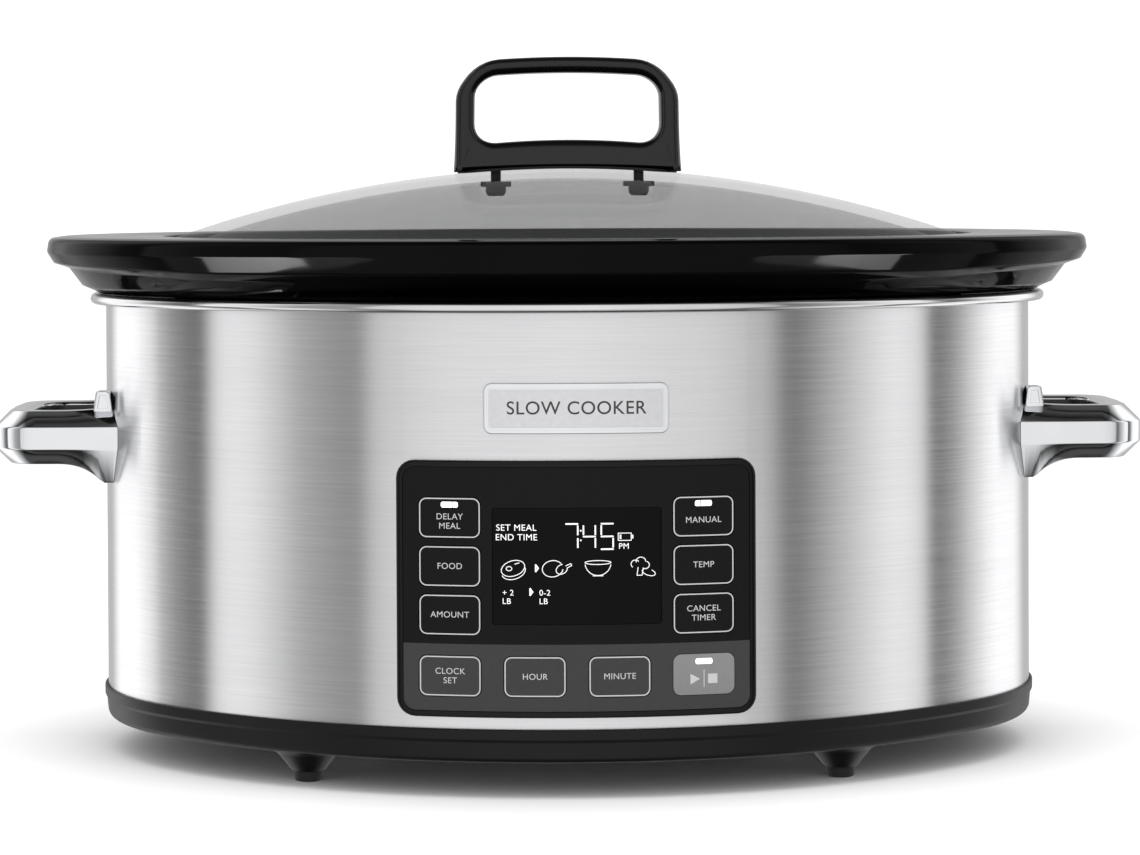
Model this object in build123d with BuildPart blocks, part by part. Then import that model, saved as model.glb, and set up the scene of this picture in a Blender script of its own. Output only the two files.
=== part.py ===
from build123d import *
from math import sqrt
import os

# A 5.5 litre oval slow cooker. Millimetres, +Z up, the front towards -Y.
# The origin lies on the table, in the middle of the oval.

# ---- Driving dimensions ----

# Outer wall, an oval of four tangent arcs
wall_half_length = 180.0
wall_half_depth = 131.0
wall_end_radius = 95.0
wrap_thickness = 0.6

# Heights of the main levels
foot_height = 4.0
base_bottom = 12.6
lip_height = 12.4
bead_top = 176.3
rim_rise = 22.2
lid_rise = 25.5
handle_rise = 43.4

# Clearances
seat_gap = 0.3
fit_gap = 0.1
key_gap = 0.25
lid_gap = 1.2

# Base pan, feet and posts
base_floor = 2.5
base_wall = 2.2
lip_stand_out = 1.3
base_draft = 1.5
base_edge_round = 3.0
wrap_seat_depth = 2.5
foot_inset_x = 82.4
foot_inset_y = 44.0
foot_radius = 5.25
foot_plug_radius = 3.6
foot_plug_length = 4.5
boss_top_radius = 13.0
boss_bottom_radius = 6.2
post_inset_x = 100.0
post_inset_y = 81.0
post_radius = 4.0
post_collar_radius = 6.5
post_collar_height = 2.0
base_screw_radius = 1.8
base_screw_head_radius = 4.0
base_screw_head_height = 2.0
base_screw_reach = 14.0
vent_length = 26.0
vent_width = 3.5
vent_spacing = 9.0
vent_count = 4

# Heating well with its rolled bead
well_inset = 22.0
well_thickness = 0.8
well_floor = 50.0
well_round = 12.0
bead_height = 4.0
bead_stand_out = 6.0
bead_wall = 5.4
bead_round = 1.9
flange_drop = 0.6
flange_thickness = 0.8
flange_reach = 3.0

# Stoneware pot
pot_gap = 4.0
pot_taper = 5.0
pot_wall = 7.0
pot_floor_gap = 6.0
pot_floor = 9.0
pot_outer_round = 26.0
pot_inner_round = 20.0
shoulder_reach = 3.5
rim_reach_x = 22.7
rim_reach_y = 9.0
rim_radius_growth = 25.0
rim_edge_height = 9.0
rim_top_round = 5.0
lid_seat_depth = 5.5
lid_seat_width = 7.5
throat_height = 3.0
throat_slope_height = 10.0

# Glass lid
lid_inset_x = 23.5
lid_inset_y = 12.5
lid_radius_growth = 5.0
glass_thickness = 4.0
glass_edge_height = 3.2
dome_rise = 27.7
glass_hole_radius = 3.0

# Lid handle, its gasket, washers and screws
handle_width = 87.4
handle_depth = 17.0
handle_outer_corner = 15.0
handle_inner_corner = 8.0
handle_bar = 6.5
handle_side = 7.3
handle_opening_height = 27.5
handle_edge_round = 2.6
foot_spread_x = 1.6
foot_spread_y = 8.0
foot_corner = 12.0
foot_rise = 7.5
gasket_thickness = 1.0
gasket_inset = 1.5
lid_screw_spacing = 56.0
lid_screw_radius = 2.0
lid_screw_head_radius = 4.0
lid_screw_head_height = 3.6
lid_screw_reach = 10.0
lid_washer_size = 12.0
lid_washer_thickness = 1.6
lid_washer_corner = 2.0

# Side handles
grip_reach = 42.0
grip_half_width = 38.0
grip_bottom = 111.5
grip_top = 132.0
grip_thickness = 13.5
grip_tip_corner = 22.0
grip_inner_corner = 11.0
grip_bevel_drop = 6.0
grip_bevel_width = 4.5
root_thickness = 5.0
root_width = 14.0
root_bottom = 104.3
root_top = 139.5
root_corner = 3.0
grip_screw_radius = 2.0
grip_screw_head_radius = 4.0
grip_screw_head_height = 2.6
grip_screw_bite = 14.0
wedge_radius = 5.5
wedge_edge = 0.6

# Nameplate
plate_width = 65.9
plate_height = 18.0
plate_corner = 3.0
plate_middle = 138.7
plate_thickness = 1.8
plate_border = 2.2
plate_recess = 0.5

# Control panel
panel_width = 128.0
panel_height = 91.1
panel_corner = 6.5
panel_middle = 74.75
panel_stand_out = 2.0
panel_border = 2.3
tray_inset = 3.0
tray_depth = 2.8
overlay_thickness = 1.0
overlay_recess = 0.2
key_width = 22.0
key_height = 14.5
key_corner = 2.8
key_thickness = 0.7
key_stand_out = 0.1
key_travel = 0.4
stem_radius = 1.5
stem_clearance = 0.3
key_column = 45.0
key_inner_column = 15.0
key_row_top = 100.0
key_row_pitch = 17.2
key_row_bottom = 43.9
window_width = 59.8
window_height = 41.2
window_middle = 83.0
window_corner = 1.0
lens_width = 6.0
lens_height = 2.0
lens_drop = 1.6

# Control board behind the panel
board_width = 116.0
board_height = 84.0
board_thickness = 1.6
board_setback = 13.5
switch_size = 6.0
switch_height = 3.5
plunger_radius = 1.7
plunger_height = 0.8
led_size = 3.0
led_height = 1.2
glass_panel_thickness = 2.8
glass_panel_setback = 2.2
glass_panel_margin = 0.8
board_post_x = 52.0
board_post_z = 37.0
board_post_radius = 3.0
board_screw_radius = 1.2
board_screw_head_radius = 2.4
board_screw_head_height = 1.8
board_screw_bite = 3.0

# Power board and what stands on it
power_width = 100.0
power_depth = 64.0
power_middle = 42.0
power_height = 22.0
power_post_inset = 5.0
relay_size = (19.0, 15.5, 15.0)
transformer_size = (24.0, 20.0, 18.0)
capacitor_size = (18.0, 8.5, 14.0)
terminal_size = (24.0, 10.0, 12.0)
part_round = 1.0

# Heat shield, sensor, heater band, fuse
shield_height = 43.0
shield_thickness = 0.8
shield_inset = 46.0
sensor_radius = 8.0
sensor_thickness = 2.5
sensor_stem_radius = 3.0
sensor_stem_length = 14.0
sensor_hole_radius = 11.0
band_bottom = 62.0
band_height = 30.0
band_thickness = 1.2
band_gap = 12.0
insulation_overlap = 4.0
insulation_thickness = 2.0
insulation_gap = 32.0
clamp_width = 26.0
clamp_height = 22.0
clamp_thickness = 1.2
clamp_lug_height = 9.0
clamp_lug_thickness = 1.5
clamp_screw_radius = 1.6
clamp_screw_head_radius = 3.2
fuse_radius = 3.0
fuse_length = 20.0
fuse_z = 112.0
clip_thickness = 0.8
clip_width = 8.0
clip_tongue = 12.0

# Ribbon cable between the two boards
ribbon_width = 16.0
ribbon_thickness = 1.0
ribbon_bend = 6.0
header_size = (20.0, 5.0, 6.0)

# Cord gland in the back of the wall
gland_z = 38.0
gland_bore_radius = 3.6
gland_radius = 5.0
gland_flange_radius = 8.0
gland_flange_thickness = 2.4
gland_nut_thickness = 3.5
gland_tail = 7.0

# Long enough to pass right through any wall from the middle
far = 260.0

# ---- Sizes that follow ----

lip_top = base_bottom + lip_height
rim_top = bead_top + rim_rise
lid_top = rim_top + lid_rise
handle_top = lid_top + handle_rise
foot_x = wall_half_length - foot_inset_x
foot_y = wall_half_depth - foot_inset_y
post_x = wall_half_length - post_inset_x
post_y = wall_half_depth - post_inset_y
rim_half_length = wall_half_length + rim_reach_x
rim_half_depth = wall_half_depth + rim_reach_y
rim_end_radius = wall_end_radius + rim_radius_growth
lid_half_length = wall_half_length - lid_inset_x
lid_half_depth = wall_half_depth - lid_inset_y
lid_end_radius = wall_end_radius + lid_radius_growth
foot_width = handle_width + foot_spread_x
foot_depth = handle_depth + foot_spread_y
grip_tip = wall_half_length + grip_reach
board_front = board_setback - wall_half_depth

wrap_bottom = lip_top - wrap_seat_depth
bead_bottom = bead_top - bead_height
flange_top = bead_top - flange_drop
flange_bottom = flange_top - flange_thickness
wrap_top = flange_bottom - fit_gap
floor_top = base_bottom + base_floor

pot_bottom = well_floor + well_thickness + pot_floor_gap
pot_inset = well_inset + well_thickness + pot_gap
pot_inner_inset = pot_inset + pot_wall
shoulder_bottom = bead_top + seat_gap
rim_edge_bottom = rim_top - rim_edge_height
lid_seat = rim_top - lid_seat_depth
throat_bottom = lid_seat - throat_height - throat_slope_height

glass_bottom = lid_seat + seat_gap
dome_radius = (lid_half_length**2 + dome_rise**2) / (2 * dome_rise)
dome_centre = lid_top - dome_radius
dome_squash = lid_half_depth / lid_half_length
screw_x = lid_screw_spacing / 2
glass_under_screw = dome_centre + sqrt((dome_radius - glass_thickness) ** 2 - screw_x**2)
washer_top = glass_under_screw - lid_washer_thickness / 2
washer_bottom = washer_top - lid_washer_thickness
handle_opening_top = handle_top - handle_bar
handle_opening_bottom = handle_opening_top - handle_opening_height

overlay_front = panel_stand_out - overlay_recess
overlay_back = overlay_front - overlay_thickness
key_front = overlay_front + key_stand_out
key_back = key_front - key_thickness
board_back = board_front + board_thickness
window_back = -wall_half_depth - overlay_back
lcd_front = window_back + glass_panel_setback + seat_gap
lcd_back = lcd_front + glass_panel_thickness
plunger_front = board_front - switch_height - plunger_height

grip_middle = (grip_top + grip_bottom) / 2
arm_y = grip_half_width - root_width / 2 - 1.0
end_centre = wall_half_length - wall_end_radius
wedge_back_x = (
    end_centre + sqrt((wall_end_radius - wrap_thickness) ** 2 - (arm_y + wedge_radius) ** 2) - wedge_edge
)
grip_screw_end = wedge_back_x + grip_screw_bite

centre_top = (Align.CENTER, Align.CENTER, Align.MIN)

key_places = {
    "key_schedule": (-key_column, key_row_top),
    "key_food": (-key_column, key_row_top - key_row_pitch),
    "key_amount": (-key_column, key_row_top - 2 * key_row_pitch),
    "key_manual": (key_column, key_row_top),
    "key_temp": (key_column, key_row_top - key_row_pitch),
    "key_cancel": (key_column, key_row_top - 2 * key_row_pitch),
    "key_clock": (-key_column, key_row_bottom),
    "key_hour": (-key_inner_column, key_row_bottom),
    "key_minute": (key_inner_column, key_row_bottom),
    "key_start_stop": (key_column, key_row_bottom),
}
lit_keys = ("key_schedule", "key_manual", "key_start_stop")
lens_places = [
    (x, z + key_height / 2 - lens_drop - lens_height / 2)
    for x, z in (key_places[name] for name in lit_keys)
]
arm_places = [(y, grip_middle) for y in (-arm_y, arm_y)]
board_posts = [
    (x, panel_middle + z) for x in (-board_post_x, board_post_x) for z in (-board_post_z, board_post_z)
]


# ---- Shapes that repeat ----


def oval(half_length, half_depth, end_radius, mode=Mode.ADD):
    """Adds an oval of four tangent arcs to the open sketch."""
    centre_x = half_length - end_radius
    side_radius = (centre_x**2 + half_depth**2 - end_radius**2) / (2 * (half_depth - end_radius))
    centre_y = side_radius - half_depth
    reach = side_radius / (side_radius - end_radius)
    x = centre_x * reach
    y = centre_y * (reach - 1)
    with BuildLine() as outline:
        ThreePointArc((-x, -y), (0, -half_depth), (x, -y))
        ThreePointArc((x, -y), (half_length, 0), (x, y))
        ThreePointArc((x, y), (0, half_depth), (-x, y))
        ThreePointArc((-x, y), (-half_length, 0), (-x, -y))
    make_face(outline.edges(), mode=mode)


def wall_oval(grow, mode=Mode.ADD):
    """Adds the outer wall's oval to the open sketch, moved outwards by a distance."""
    oval(wall_half_length + grow, wall_half_depth + grow, wall_end_radius + grow, mode)


def wall_band(inner, outer, bottom, top):
    """A level band between two offsets from the outer wall."""
    with BuildPart(mode=Mode.PRIVATE) as band:
        with BuildSketch(Plane.XY.offset(bottom)):
            wall_oval(outer)
            wall_oval(inner, mode=Mode.SUBTRACT)
        extrude(amount=top - bottom)
    return band.part


def wall_plate(inner, outer, width, height, corner, x, z, rear=False):
    """A rounded plate that follows the front or rear wall between two offsets from it."""
    with BuildPart(mode=Mode.PRIVATE) as plate:
        add(wall_band(inner, outer, z - height / 2, z + height / 2))
        with BuildSketch(Plane.XZ):
            with Locations((x, z)):
                RectangleRounded(width, height, corner)
        extrude(amount=-far if rear else far, mode=Mode.INTERSECT)
    return plate.part


def front_pins(places, radius, start, end, mode=Mode.ADD):
    """Round pins or holes along Y at places on the front, from one Y to another."""
    with BuildSketch(Plane.XZ.offset(-end), mode=Mode.PRIVATE) as pins:
        with Locations(*places):
            Circle(radius)
    extrude(pins.sketch, amount=end - start, mode=mode)


def dome(radius):
    """A solid dome, the lid's own curve at a given radius."""
    with BuildPart(mode=Mode.PRIVATE) as solid:
        Sphere(radius)
        scale(by=(1, dome_squash, 1))
    return solid.part.moved(Location((0, 0, dome_centre)))


def save(piece, name):
    piece.part.label = name
    export_step(piece.part, f"parts/{name}.step")


os.makedirs("parts", exist_ok=True)

# ---- Base pan, feet, posts ----

foot_places = [(x, y) for x in (-foot_x, foot_x) for y in (-foot_y, foot_y)]
post_places = [(x, y) for x in (-post_x, post_x) for y in (-post_y, post_y)]
power_post_places = [
    (x, power_middle + y)
    for x in (-power_width / 2 + power_post_inset, power_width / 2 - power_post_inset)
    for y in (-power_depth / 2 + power_post_inset, power_depth / 2 - power_post_inset)
]

# Moulded pan: the wall's oval with a lip that the wrap stands inside
with BuildPart() as base_pan:
    with BuildSketch(Plane.XY.offset(base_bottom)):
        wall_oval(lip_stand_out - base_draft)
    with BuildSketch(Plane.XY.offset(lip_top)):
        wall_oval(lip_stand_out)
    loft(ruled=True)
    fillet(base_pan.faces().sort_by(Axis.Z)[0].edges(), base_edge_round)
    with BuildSketch(Plane.XY.offset(wrap_bottom)):
        wall_oval(fit_gap)
    extrude(amount=far, mode=Mode.SUBTRACT)
    with BuildSketch(Plane.XY.offset(floor_top)):
        wall_oval(-base_wall)
    extrude(amount=far, mode=Mode.SUBTRACT)
    with Locations(*[(x, y, foot_height) for x, y in foot_places]):
        Cone(boss_bottom_radius, boss_top_radius, base_bottom - foot_height, align=centre_top)
    with BuildSketch(Plane.XY.offset(floor_top)):
        with Locations(*power_post_places):
            Circle(board_post_radius)
    extrude(amount=power_height - floor_top)
    with Locations(*[(x, y, foot_height) for x, y in foot_places]):
        Cylinder(foot_plug_radius, foot_plug_length, align=centre_top, mode=Mode.SUBTRACT)
    with Locations(*[(x, y, base_bottom) for x, y in post_places]):
        Cylinder(base_screw_radius, base_floor, align=centre_top, mode=Mode.SUBTRACT)
    with BuildSketch(Plane.XY.offset(base_bottom)):
        with GridLocations(2 * post_x, vent_spacing, 2, vent_count):
            SlotOverall(vent_length, vent_width)
    extrude(amount=base_floor, mode=Mode.SUBTRACT)
    with Locations(*[(x, y, power_height - base_floor) for x, y in power_post_places]):
        Cylinder(board_screw_radius, base_floor, align=centre_top, mode=Mode.SUBTRACT)
save(base_pan, "base_pan")

# Rubber feet, each with a plug that pushes up into its boss
with BuildPart() as feet:
    with Locations(*[(x, y, 0) for x, y in foot_places]):
        Cylinder(foot_radius, foot_height, align=centre_top)
        Cylinder(foot_plug_radius, foot_height + foot_plug_length, align=centre_top)
save(feet, "feet")

# Steel posts welded under the well, with a collar that carries the heat shield
with BuildPart() as well_posts:
    with Locations(*[(x, y, floor_top) for x, y in post_places]):
        Cylinder(post_radius, well_floor - floor_top, align=centre_top)
    with Locations(*[(x, y, shield_height - post_collar_height) for x, y in post_places]):
        Cylinder(post_collar_radius, post_collar_height, align=centre_top)
    with Locations(*[(x, y, floor_top) for x, y in post_places]):
        Cylinder(base_screw_radius, base_screw_reach, align=centre_top, mode=Mode.SUBTRACT)
save(well_posts, "well_posts")

with BuildPart() as base_screws:
    with Locations(*[(x, y, base_bottom - base_screw_head_height) for x, y in post_places]):
        Cylinder(base_screw_head_radius, base_screw_head_height, align=centre_top)
    with Locations(*[(x, y, base_bottom) for x, y in post_places]):
        Cylinder(base_screw_radius, base_floor + base_screw_reach, align=centre_top)
save(base_screws, "base_screws")

# ---- Outer wrap ----

# Brushed sheet rolled into the oval, with the panel's opening and the fixing holes
with BuildPart() as outer_wrap:
    add(wall_band(-wrap_thickness, 0, wrap_bottom, wrap_top))
    with BuildSketch(Plane.XZ):
        with Locations((0, panel_middle)):
            Rectangle(panel_width - 2 * tray_inset + 2 * fit_gap, panel_height - 2 * tray_inset + 2 * fit_gap)
    extrude(amount=far, mode=Mode.SUBTRACT)
    with BuildSketch(Plane.YZ):
        with Locations(*arm_places):
            Circle(grip_screw_radius)
    extrude(amount=far, both=True, mode=Mode.SUBTRACT)
    with BuildSketch(Plane.XZ):
        with Locations((0, gland_z)):
            Circle(gland_radius)
    extrude(amount=-far, mode=Mode.SUBTRACT)
save(outer_wrap, "outer_wrap")

# ---- Heating well ----

# Drawn cup that the pot hangs in; its flange closes the wall and ends in a rolled bead
with BuildPart() as heating_well:
    with BuildSketch(Plane.XY.offset(well_floor)):
        wall_oval(-well_inset)
    extrude(amount=flange_top - well_floor)
    fillet(heating_well.faces().sort_by(Axis.Z)[0].edges(), well_round)
    offset(amount=-well_thickness, openings=heating_well.faces().sort_by(Axis.Z)[-1])
    add(wall_band(-well_inset - well_thickness, flange_reach, flange_bottom, flange_top))
    with BuildPart(mode=Mode.PRIVATE) as bead:
        add(wall_band(bead_stand_out - bead_wall, bead_stand_out, bead_bottom, bead_top))
        fillet(bead.faces().sort_by(Axis.Z)[-1].edges(), bead_round)
        fillet(bead.faces().sort_by(Axis.Z)[0].outer_wire().edges(), bead_round)
    add(bead.part)
save(heating_well, "heating_well")

# ---- Stoneware pot ----

with BuildPart() as pot_body:
    with BuildSketch(Plane.XY.offset(pot_bottom)):
        wall_oval(-pot_inset - pot_taper)
    with BuildSketch(Plane.XY.offset(shoulder_bottom)):
        wall_oval(-pot_inset)
    loft(ruled=True)
    fillet(pot_body.faces().sort_by(Axis.Z)[0].edges(), pot_outer_round)

with BuildPart() as pot_rim:
    with BuildSketch(Plane.XY.offset(shoulder_bottom)):
        wall_oval(shoulder_reach)
    with BuildSketch(Plane.XY.offset(rim_edge_bottom)):
        oval(rim_half_length, rim_half_depth, rim_end_radius)
    loft(ruled=True)

with BuildPart() as pot_rim_edge:
    with BuildSketch(Plane.XY.offset(rim_edge_bottom)):
        oval(rim_half_length, rim_half_depth, rim_end_radius)
    extrude(amount=rim_edge_height)
    fillet(pot_rim_edge.faces().sort_by(Axis.Z)[-1].edges(), rim_top_round)

with BuildPart() as pot_hollow:
    with BuildSketch(Plane.XY.offset(pot_bottom + pot_floor)):
        wall_oval(-pot_inner_inset - pot_taper)
    with BuildSketch(Plane.XY.offset(throat_bottom)):
        wall_oval(-pot_inner_inset)
    loft(ruled=True)
    fillet(pot_hollow.faces().sort_by(Axis.Z)[0].edges(), pot_inner_round)

# The throat widens from the hollow's top to the ledge that the lid rests on
with BuildPart() as pot_throat:
    with BuildSketch(Plane.XY.offset(throat_bottom)):
        wall_oval(-pot_inner_inset)
    with BuildSketch(Plane.XY.offset(throat_bottom + throat_slope_height)):
        oval(
            lid_half_length - lid_seat_width,
            lid_half_depth - lid_seat_width,
            lid_end_radius - lid_seat_width,
        )
    loft(ruled=True)
    extrude(pot_throat.faces().sort_by(Axis.Z)[-1], amount=throat_height)
    with BuildSketch(Plane.XY.offset(lid_seat)):
        oval(lid_half_length + lid_gap, lid_half_depth + lid_gap, lid_end_radius + lid_gap)
    extrude(amount=far)

with BuildPart() as stoneware_pot:
    add(pot_body.part)
    add(pot_rim.part)
    add(pot_rim_edge.part)
    add(pot_hollow.part, mode=Mode.SUBTRACT)
    add(pot_throat.part, mode=Mode.SUBTRACT)
save(stoneware_pot, "stoneware_pot")

# ---- Lid ----

screw_places = [(-screw_x, 0), (screw_x, 0)]

# Tempered glass dome with a thick ground edge
with BuildPart() as lid_glass:
    add(dome(dome_radius))
    add(dome(dome_radius - glass_thickness), mode=Mode.SUBTRACT)
    with BuildSketch(Plane.XY.offset(glass_bottom)):
        oval(lid_half_length, lid_half_depth, lid_end_radius)
    extrude(amount=far, mode=Mode.INTERSECT)
    with BuildSketch(Plane.XY.offset(glass_bottom)):
        oval(lid_half_length, lid_half_depth, lid_end_radius)
        oval(
            lid_half_length - lid_seat_width,
            lid_half_depth - lid_seat_width,
            lid_end_radius - lid_seat_width,
            mode=Mode.SUBTRACT,
        )
    extrude(amount=glass_edge_height)
    with BuildSketch(Plane.XY.offset(glass_bottom)):
        with Locations(*screw_places):
            Circle(glass_hole_radius)
    extrude(amount=far, mode=Mode.SUBTRACT)
save(lid_glass, "lid_glass")

# Silicone pad between the handle's foot and the glass
with BuildPart() as lid_gasket:
    with BuildSketch(Plane.XY.offset(glass_bottom)):
        RectangleRounded(
            foot_width - 2 * gasket_inset, foot_depth - 2 * gasket_inset, foot_corner - gasket_inset
        )
    extrude(amount=lid_top - glass_bottom + gasket_thickness)
    add(dome(dome_radius + gasket_thickness), mode=Mode.INTERSECT)
    add(dome(dome_radius), mode=Mode.SUBTRACT)
    with BuildSketch(Plane.XY.offset(glass_bottom)):
        with Locations(*screw_places):
            Circle(glass_hole_radius)
    extrude(amount=far, mode=Mode.SUBTRACT)
save(lid_gasket, "lid_gasket")

# Moulded loop on a foot that follows the dome
with BuildPart() as lid_handle:
    with BuildSketch(Plane.XZ):
        with Locations((0, handle_top)):
            RectangleRounded(
                handle_width,
                handle_top - glass_bottom,
                handle_outer_corner,
                align=(Align.CENTER, Align.MAX),
            )
        with Locations((0, handle_opening_top)):
            RectangleRounded(
                handle_width - 2 * handle_side,
                handle_opening_height,
                handle_inner_corner,
                align=(Align.CENTER, Align.MAX),
                mode=Mode.SUBTRACT,
            )
    extrude(amount=handle_depth / 2, both=True)
    fillet(lid_handle.faces().filter_by(Axis.Y).edges(), handle_edge_round)
    with BuildSketch(Plane.XY.offset(glass_bottom)):
        RectangleRounded(foot_width, foot_depth, foot_corner)
    extrude(amount=handle_opening_bottom - foot_rise / 2 - glass_bottom)
    add(dome(dome_radius + gasket_thickness), mode=Mode.SUBTRACT)
    with Locations(*[(x, y, washer_bottom) for x, y in screw_places]):
        Cylinder(lid_screw_radius, lid_screw_reach, align=centre_top, mode=Mode.SUBTRACT)
save(lid_handle, "lid_handle")

with BuildPart() as lid_washers:
    with BuildSketch(Plane.XY.offset(washer_bottom)):
        with Locations(*screw_places):
            RectangleRounded(lid_washer_size, lid_washer_size, lid_washer_corner)
            Circle(lid_screw_radius, mode=Mode.SUBTRACT)
    extrude(amount=lid_washer_thickness)
save(lid_washers, "lid_washers")

with BuildPart() as lid_screws:
    with Locations(*[(x, y, washer_bottom - lid_screw_head_height) for x, y in screw_places]):
        Cylinder(lid_screw_head_radius, lid_screw_head_height, align=centre_top)
    with Locations(*[(x, y, washer_bottom) for x, y in screw_places]):
        Cylinder(lid_screw_radius, lid_screw_reach, align=centre_top)
save(lid_screws, "lid_screws")

# ---- Side handles ----

# Plated loop with a bevelled grip, seated on the wall by two flared roots
with BuildPart() as side_handle_right:
    with BuildSketch(Plane.XY.offset(grip_bottom)):
        with Locations((grip_tip, 0)):
            RectangleRounded(
                grip_tip,
                2 * grip_half_width,
                grip_tip_corner,
                align=(Align.MAX, Align.CENTER),
            )
    extrude(amount=grip_top - grip_bottom)
    ends = side_handle_right.faces().filter_by(Axis.Z).edges()
    chamfer(ends, grip_bevel_drop, grip_bevel_width)
    with BuildSketch(Plane.XY.offset(grip_bottom)):
        with Locations((grip_tip - grip_thickness, 0)):
            RectangleRounded(
                grip_tip,
                2 * (grip_half_width - grip_thickness),
                grip_inner_corner,
                align=(Align.MAX, Align.CENTER),
            )
    extrude(amount=grip_top - grip_bottom, mode=Mode.SUBTRACT)
    with BuildSketch(Plane.XY.offset(root_bottom)):
        wall_oval(fit_gap)
    extrude(amount=root_top - root_bottom, mode=Mode.SUBTRACT)
    with BuildPart(mode=Mode.PRIVATE) as roots:
        add(wall_band(fit_gap, root_thickness, root_bottom, root_top))
        with BuildSketch(Plane.YZ):
            with Locations(*[(y, (root_bottom + root_top) / 2) for y in (-arm_y, arm_y)]):
                RectangleRounded(root_width, root_top - root_bottom, root_corner)
        extrude(amount=far, mode=Mode.INTERSECT)
    add(roots.part)
    with BuildSketch(Plane.YZ):
        with Locations(*arm_places):
            Circle(grip_screw_radius)
    extrude(amount=grip_screw_end, mode=Mode.SUBTRACT)
save(side_handle_right, "side_handle_right")

with BuildPart() as side_handle_left:
    add(side_handle_right.part)
    mirror(about=Plane.YZ, mode=Mode.REPLACE)
save(side_handle_left, "side_handle_left")

# Wedge washers inside the wall make a square seat for each screw head
with BuildPart() as handle_washers:
    with BuildSketch(Plane.YZ.offset(wedge_back_x)):
        with Locations(*arm_places):
            Circle(wedge_radius)
            Circle(grip_screw_radius, mode=Mode.SUBTRACT)
    extrude(amount=wedge_radius)
    with BuildSketch(Plane.XY.offset(root_bottom)):
        wall_oval(-wrap_thickness)
    extrude(amount=root_top - root_bottom, mode=Mode.INTERSECT)
    mirror(about=Plane.YZ)
save(handle_washers, "handle_washers")

with BuildPart() as handle_screws:
    with BuildSketch(Plane.YZ.offset(wedge_back_x - grip_screw_head_height)):
        with Locations(*arm_places):
            Circle(grip_screw_head_radius)
    extrude(amount=grip_screw_head_height)
    with BuildSketch(Plane.YZ.offset(wedge_back_x)):
        with Locations(*arm_places):
            Circle(grip_screw_radius)
    extrude(amount=grip_screw_bite)
    mirror(about=Plane.YZ)
save(handle_screws, "handle_screws")

# ---- Nameplate, left blank ----

with BuildPart() as nameplate:
    add(wall_plate(fit_gap, plate_thickness, plate_width, plate_height, plate_corner, 0, plate_middle))
    field = wall_plate(
        plate_thickness - plate_recess,
        plate_thickness + plate_recess,
        plate_width - 2 * plate_border,
        plate_height - 2 * plate_border,
        plate_corner / 2,
        0,
        plate_middle,
    )
    add(field, mode=Mode.SUBTRACT)
save(nameplate, "nameplate")

# ---- Control panel ----

tray_width = panel_width - 2 * tray_inset
tray_height = panel_height - 2 * tray_inset
overlay_width = panel_width - 2 * panel_border
overlay_height = panel_height - 2 * panel_border

# Gloss frame that stands on the wall, with a tray behind it in the wall's opening
with BuildPart() as panel_bezel:
    add(
        wall_plate(
            fit_gap, panel_stand_out, panel_width, panel_height, panel_corner, 0, panel_middle
        )
    )
    add(wall_plate(-tray_depth, fit_gap, tray_width, tray_height, panel_corner / 2, 0, panel_middle))
    pocket = wall_plate(
        overlay_back,
        panel_stand_out + fit_gap,
        overlay_width,
        overlay_height,
        panel_corner - panel_border,
        0,
        panel_middle,
    )
    add(pocket, mode=Mode.SUBTRACT)
    with BuildSketch(Plane.XZ):
        with Locations((0, window_middle)):
            Rectangle(window_width - 2 * glass_panel_margin, window_height - 2 * glass_panel_margin)
        with Locations(*key_places.values()):
            Circle(stem_radius + stem_clearance)
        with Locations(*lens_places):
            RectangleRounded(lens_width, lens_height, lens_height / 3)
    extrude(amount=far, mode=Mode.SUBTRACT)
    with BuildPart(mode=Mode.PRIVATE) as bezel_posts:
        front_pins(board_posts, board_post_radius, -wall_half_depth, board_front)
        with BuildSketch(Plane.XY.offset(base_bottom)):
            wall_oval(-tray_depth)
        extrude(amount=bead_top, mode=Mode.INTERSECT)
    add(bezel_posts.part)
    front_pins(
        board_posts, board_screw_radius, board_front - board_screw_bite, board_front, mode=Mode.SUBTRACT
    )
save(panel_bezel, "panel_bezel")

# Printed sheet laid in the frame, open at the keys and the window
with BuildPart() as panel_overlay:
    sheet = wall_plate(
        overlay_back,
        overlay_front,
        overlay_width - 2 * fit_gap,
        overlay_height - 2 * fit_gap,
        panel_corner - panel_border,
        0,
        panel_middle,
    )
    add(sheet)
    with BuildSketch(Plane.XZ):
        with Locations(*key_places.values()):
            RectangleRounded(key_width + 2 * key_gap, key_height + 2 * key_gap, key_corner + key_gap)
        with Locations((0, window_middle)):
            RectangleRounded(window_width + 2 * fit_gap, window_height + 2 * fit_gap, window_corner)
    extrude(amount=far, mode=Mode.SUBTRACT)
save(panel_overlay, "panel_overlay")

with BuildPart() as display_window:
    add(wall_plate(overlay_back, overlay_front, window_width, window_height, window_corner, 0, window_middle))
save(display_window, "display_window")

# Each key is a patch of the keypad on a stem that ends just short of its switch
for name, (x, z) in key_places.items():
    with BuildPart() as key:
        add(wall_plate(key_back, key_front, key_width, key_height, key_corner, x, z))
        with BuildPart(mode=Mode.PRIVATE) as stem:
            stem_end = plunger_front - key_travel - fit_gap
            front_pins([(x, z)], stem_radius, -wall_half_depth - panel_stand_out, stem_end)
            with BuildSketch(Plane.XY.offset(z - key_height)):
                wall_oval((key_back + key_front) / 2)
            extrude(amount=2 * key_height, mode=Mode.INTERSECT)
        add(stem.part)
        if name in lit_keys:
            with BuildSketch(Plane.XZ):
                with Locations(*lens_places):
                    RectangleRounded(
                        lens_width + 2 * key_gap, lens_height + 2 * key_gap, lens_height / 3 + key_gap
                    )
            extrude(amount=far, mode=Mode.SUBTRACT)
    save(key, name)

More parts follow.
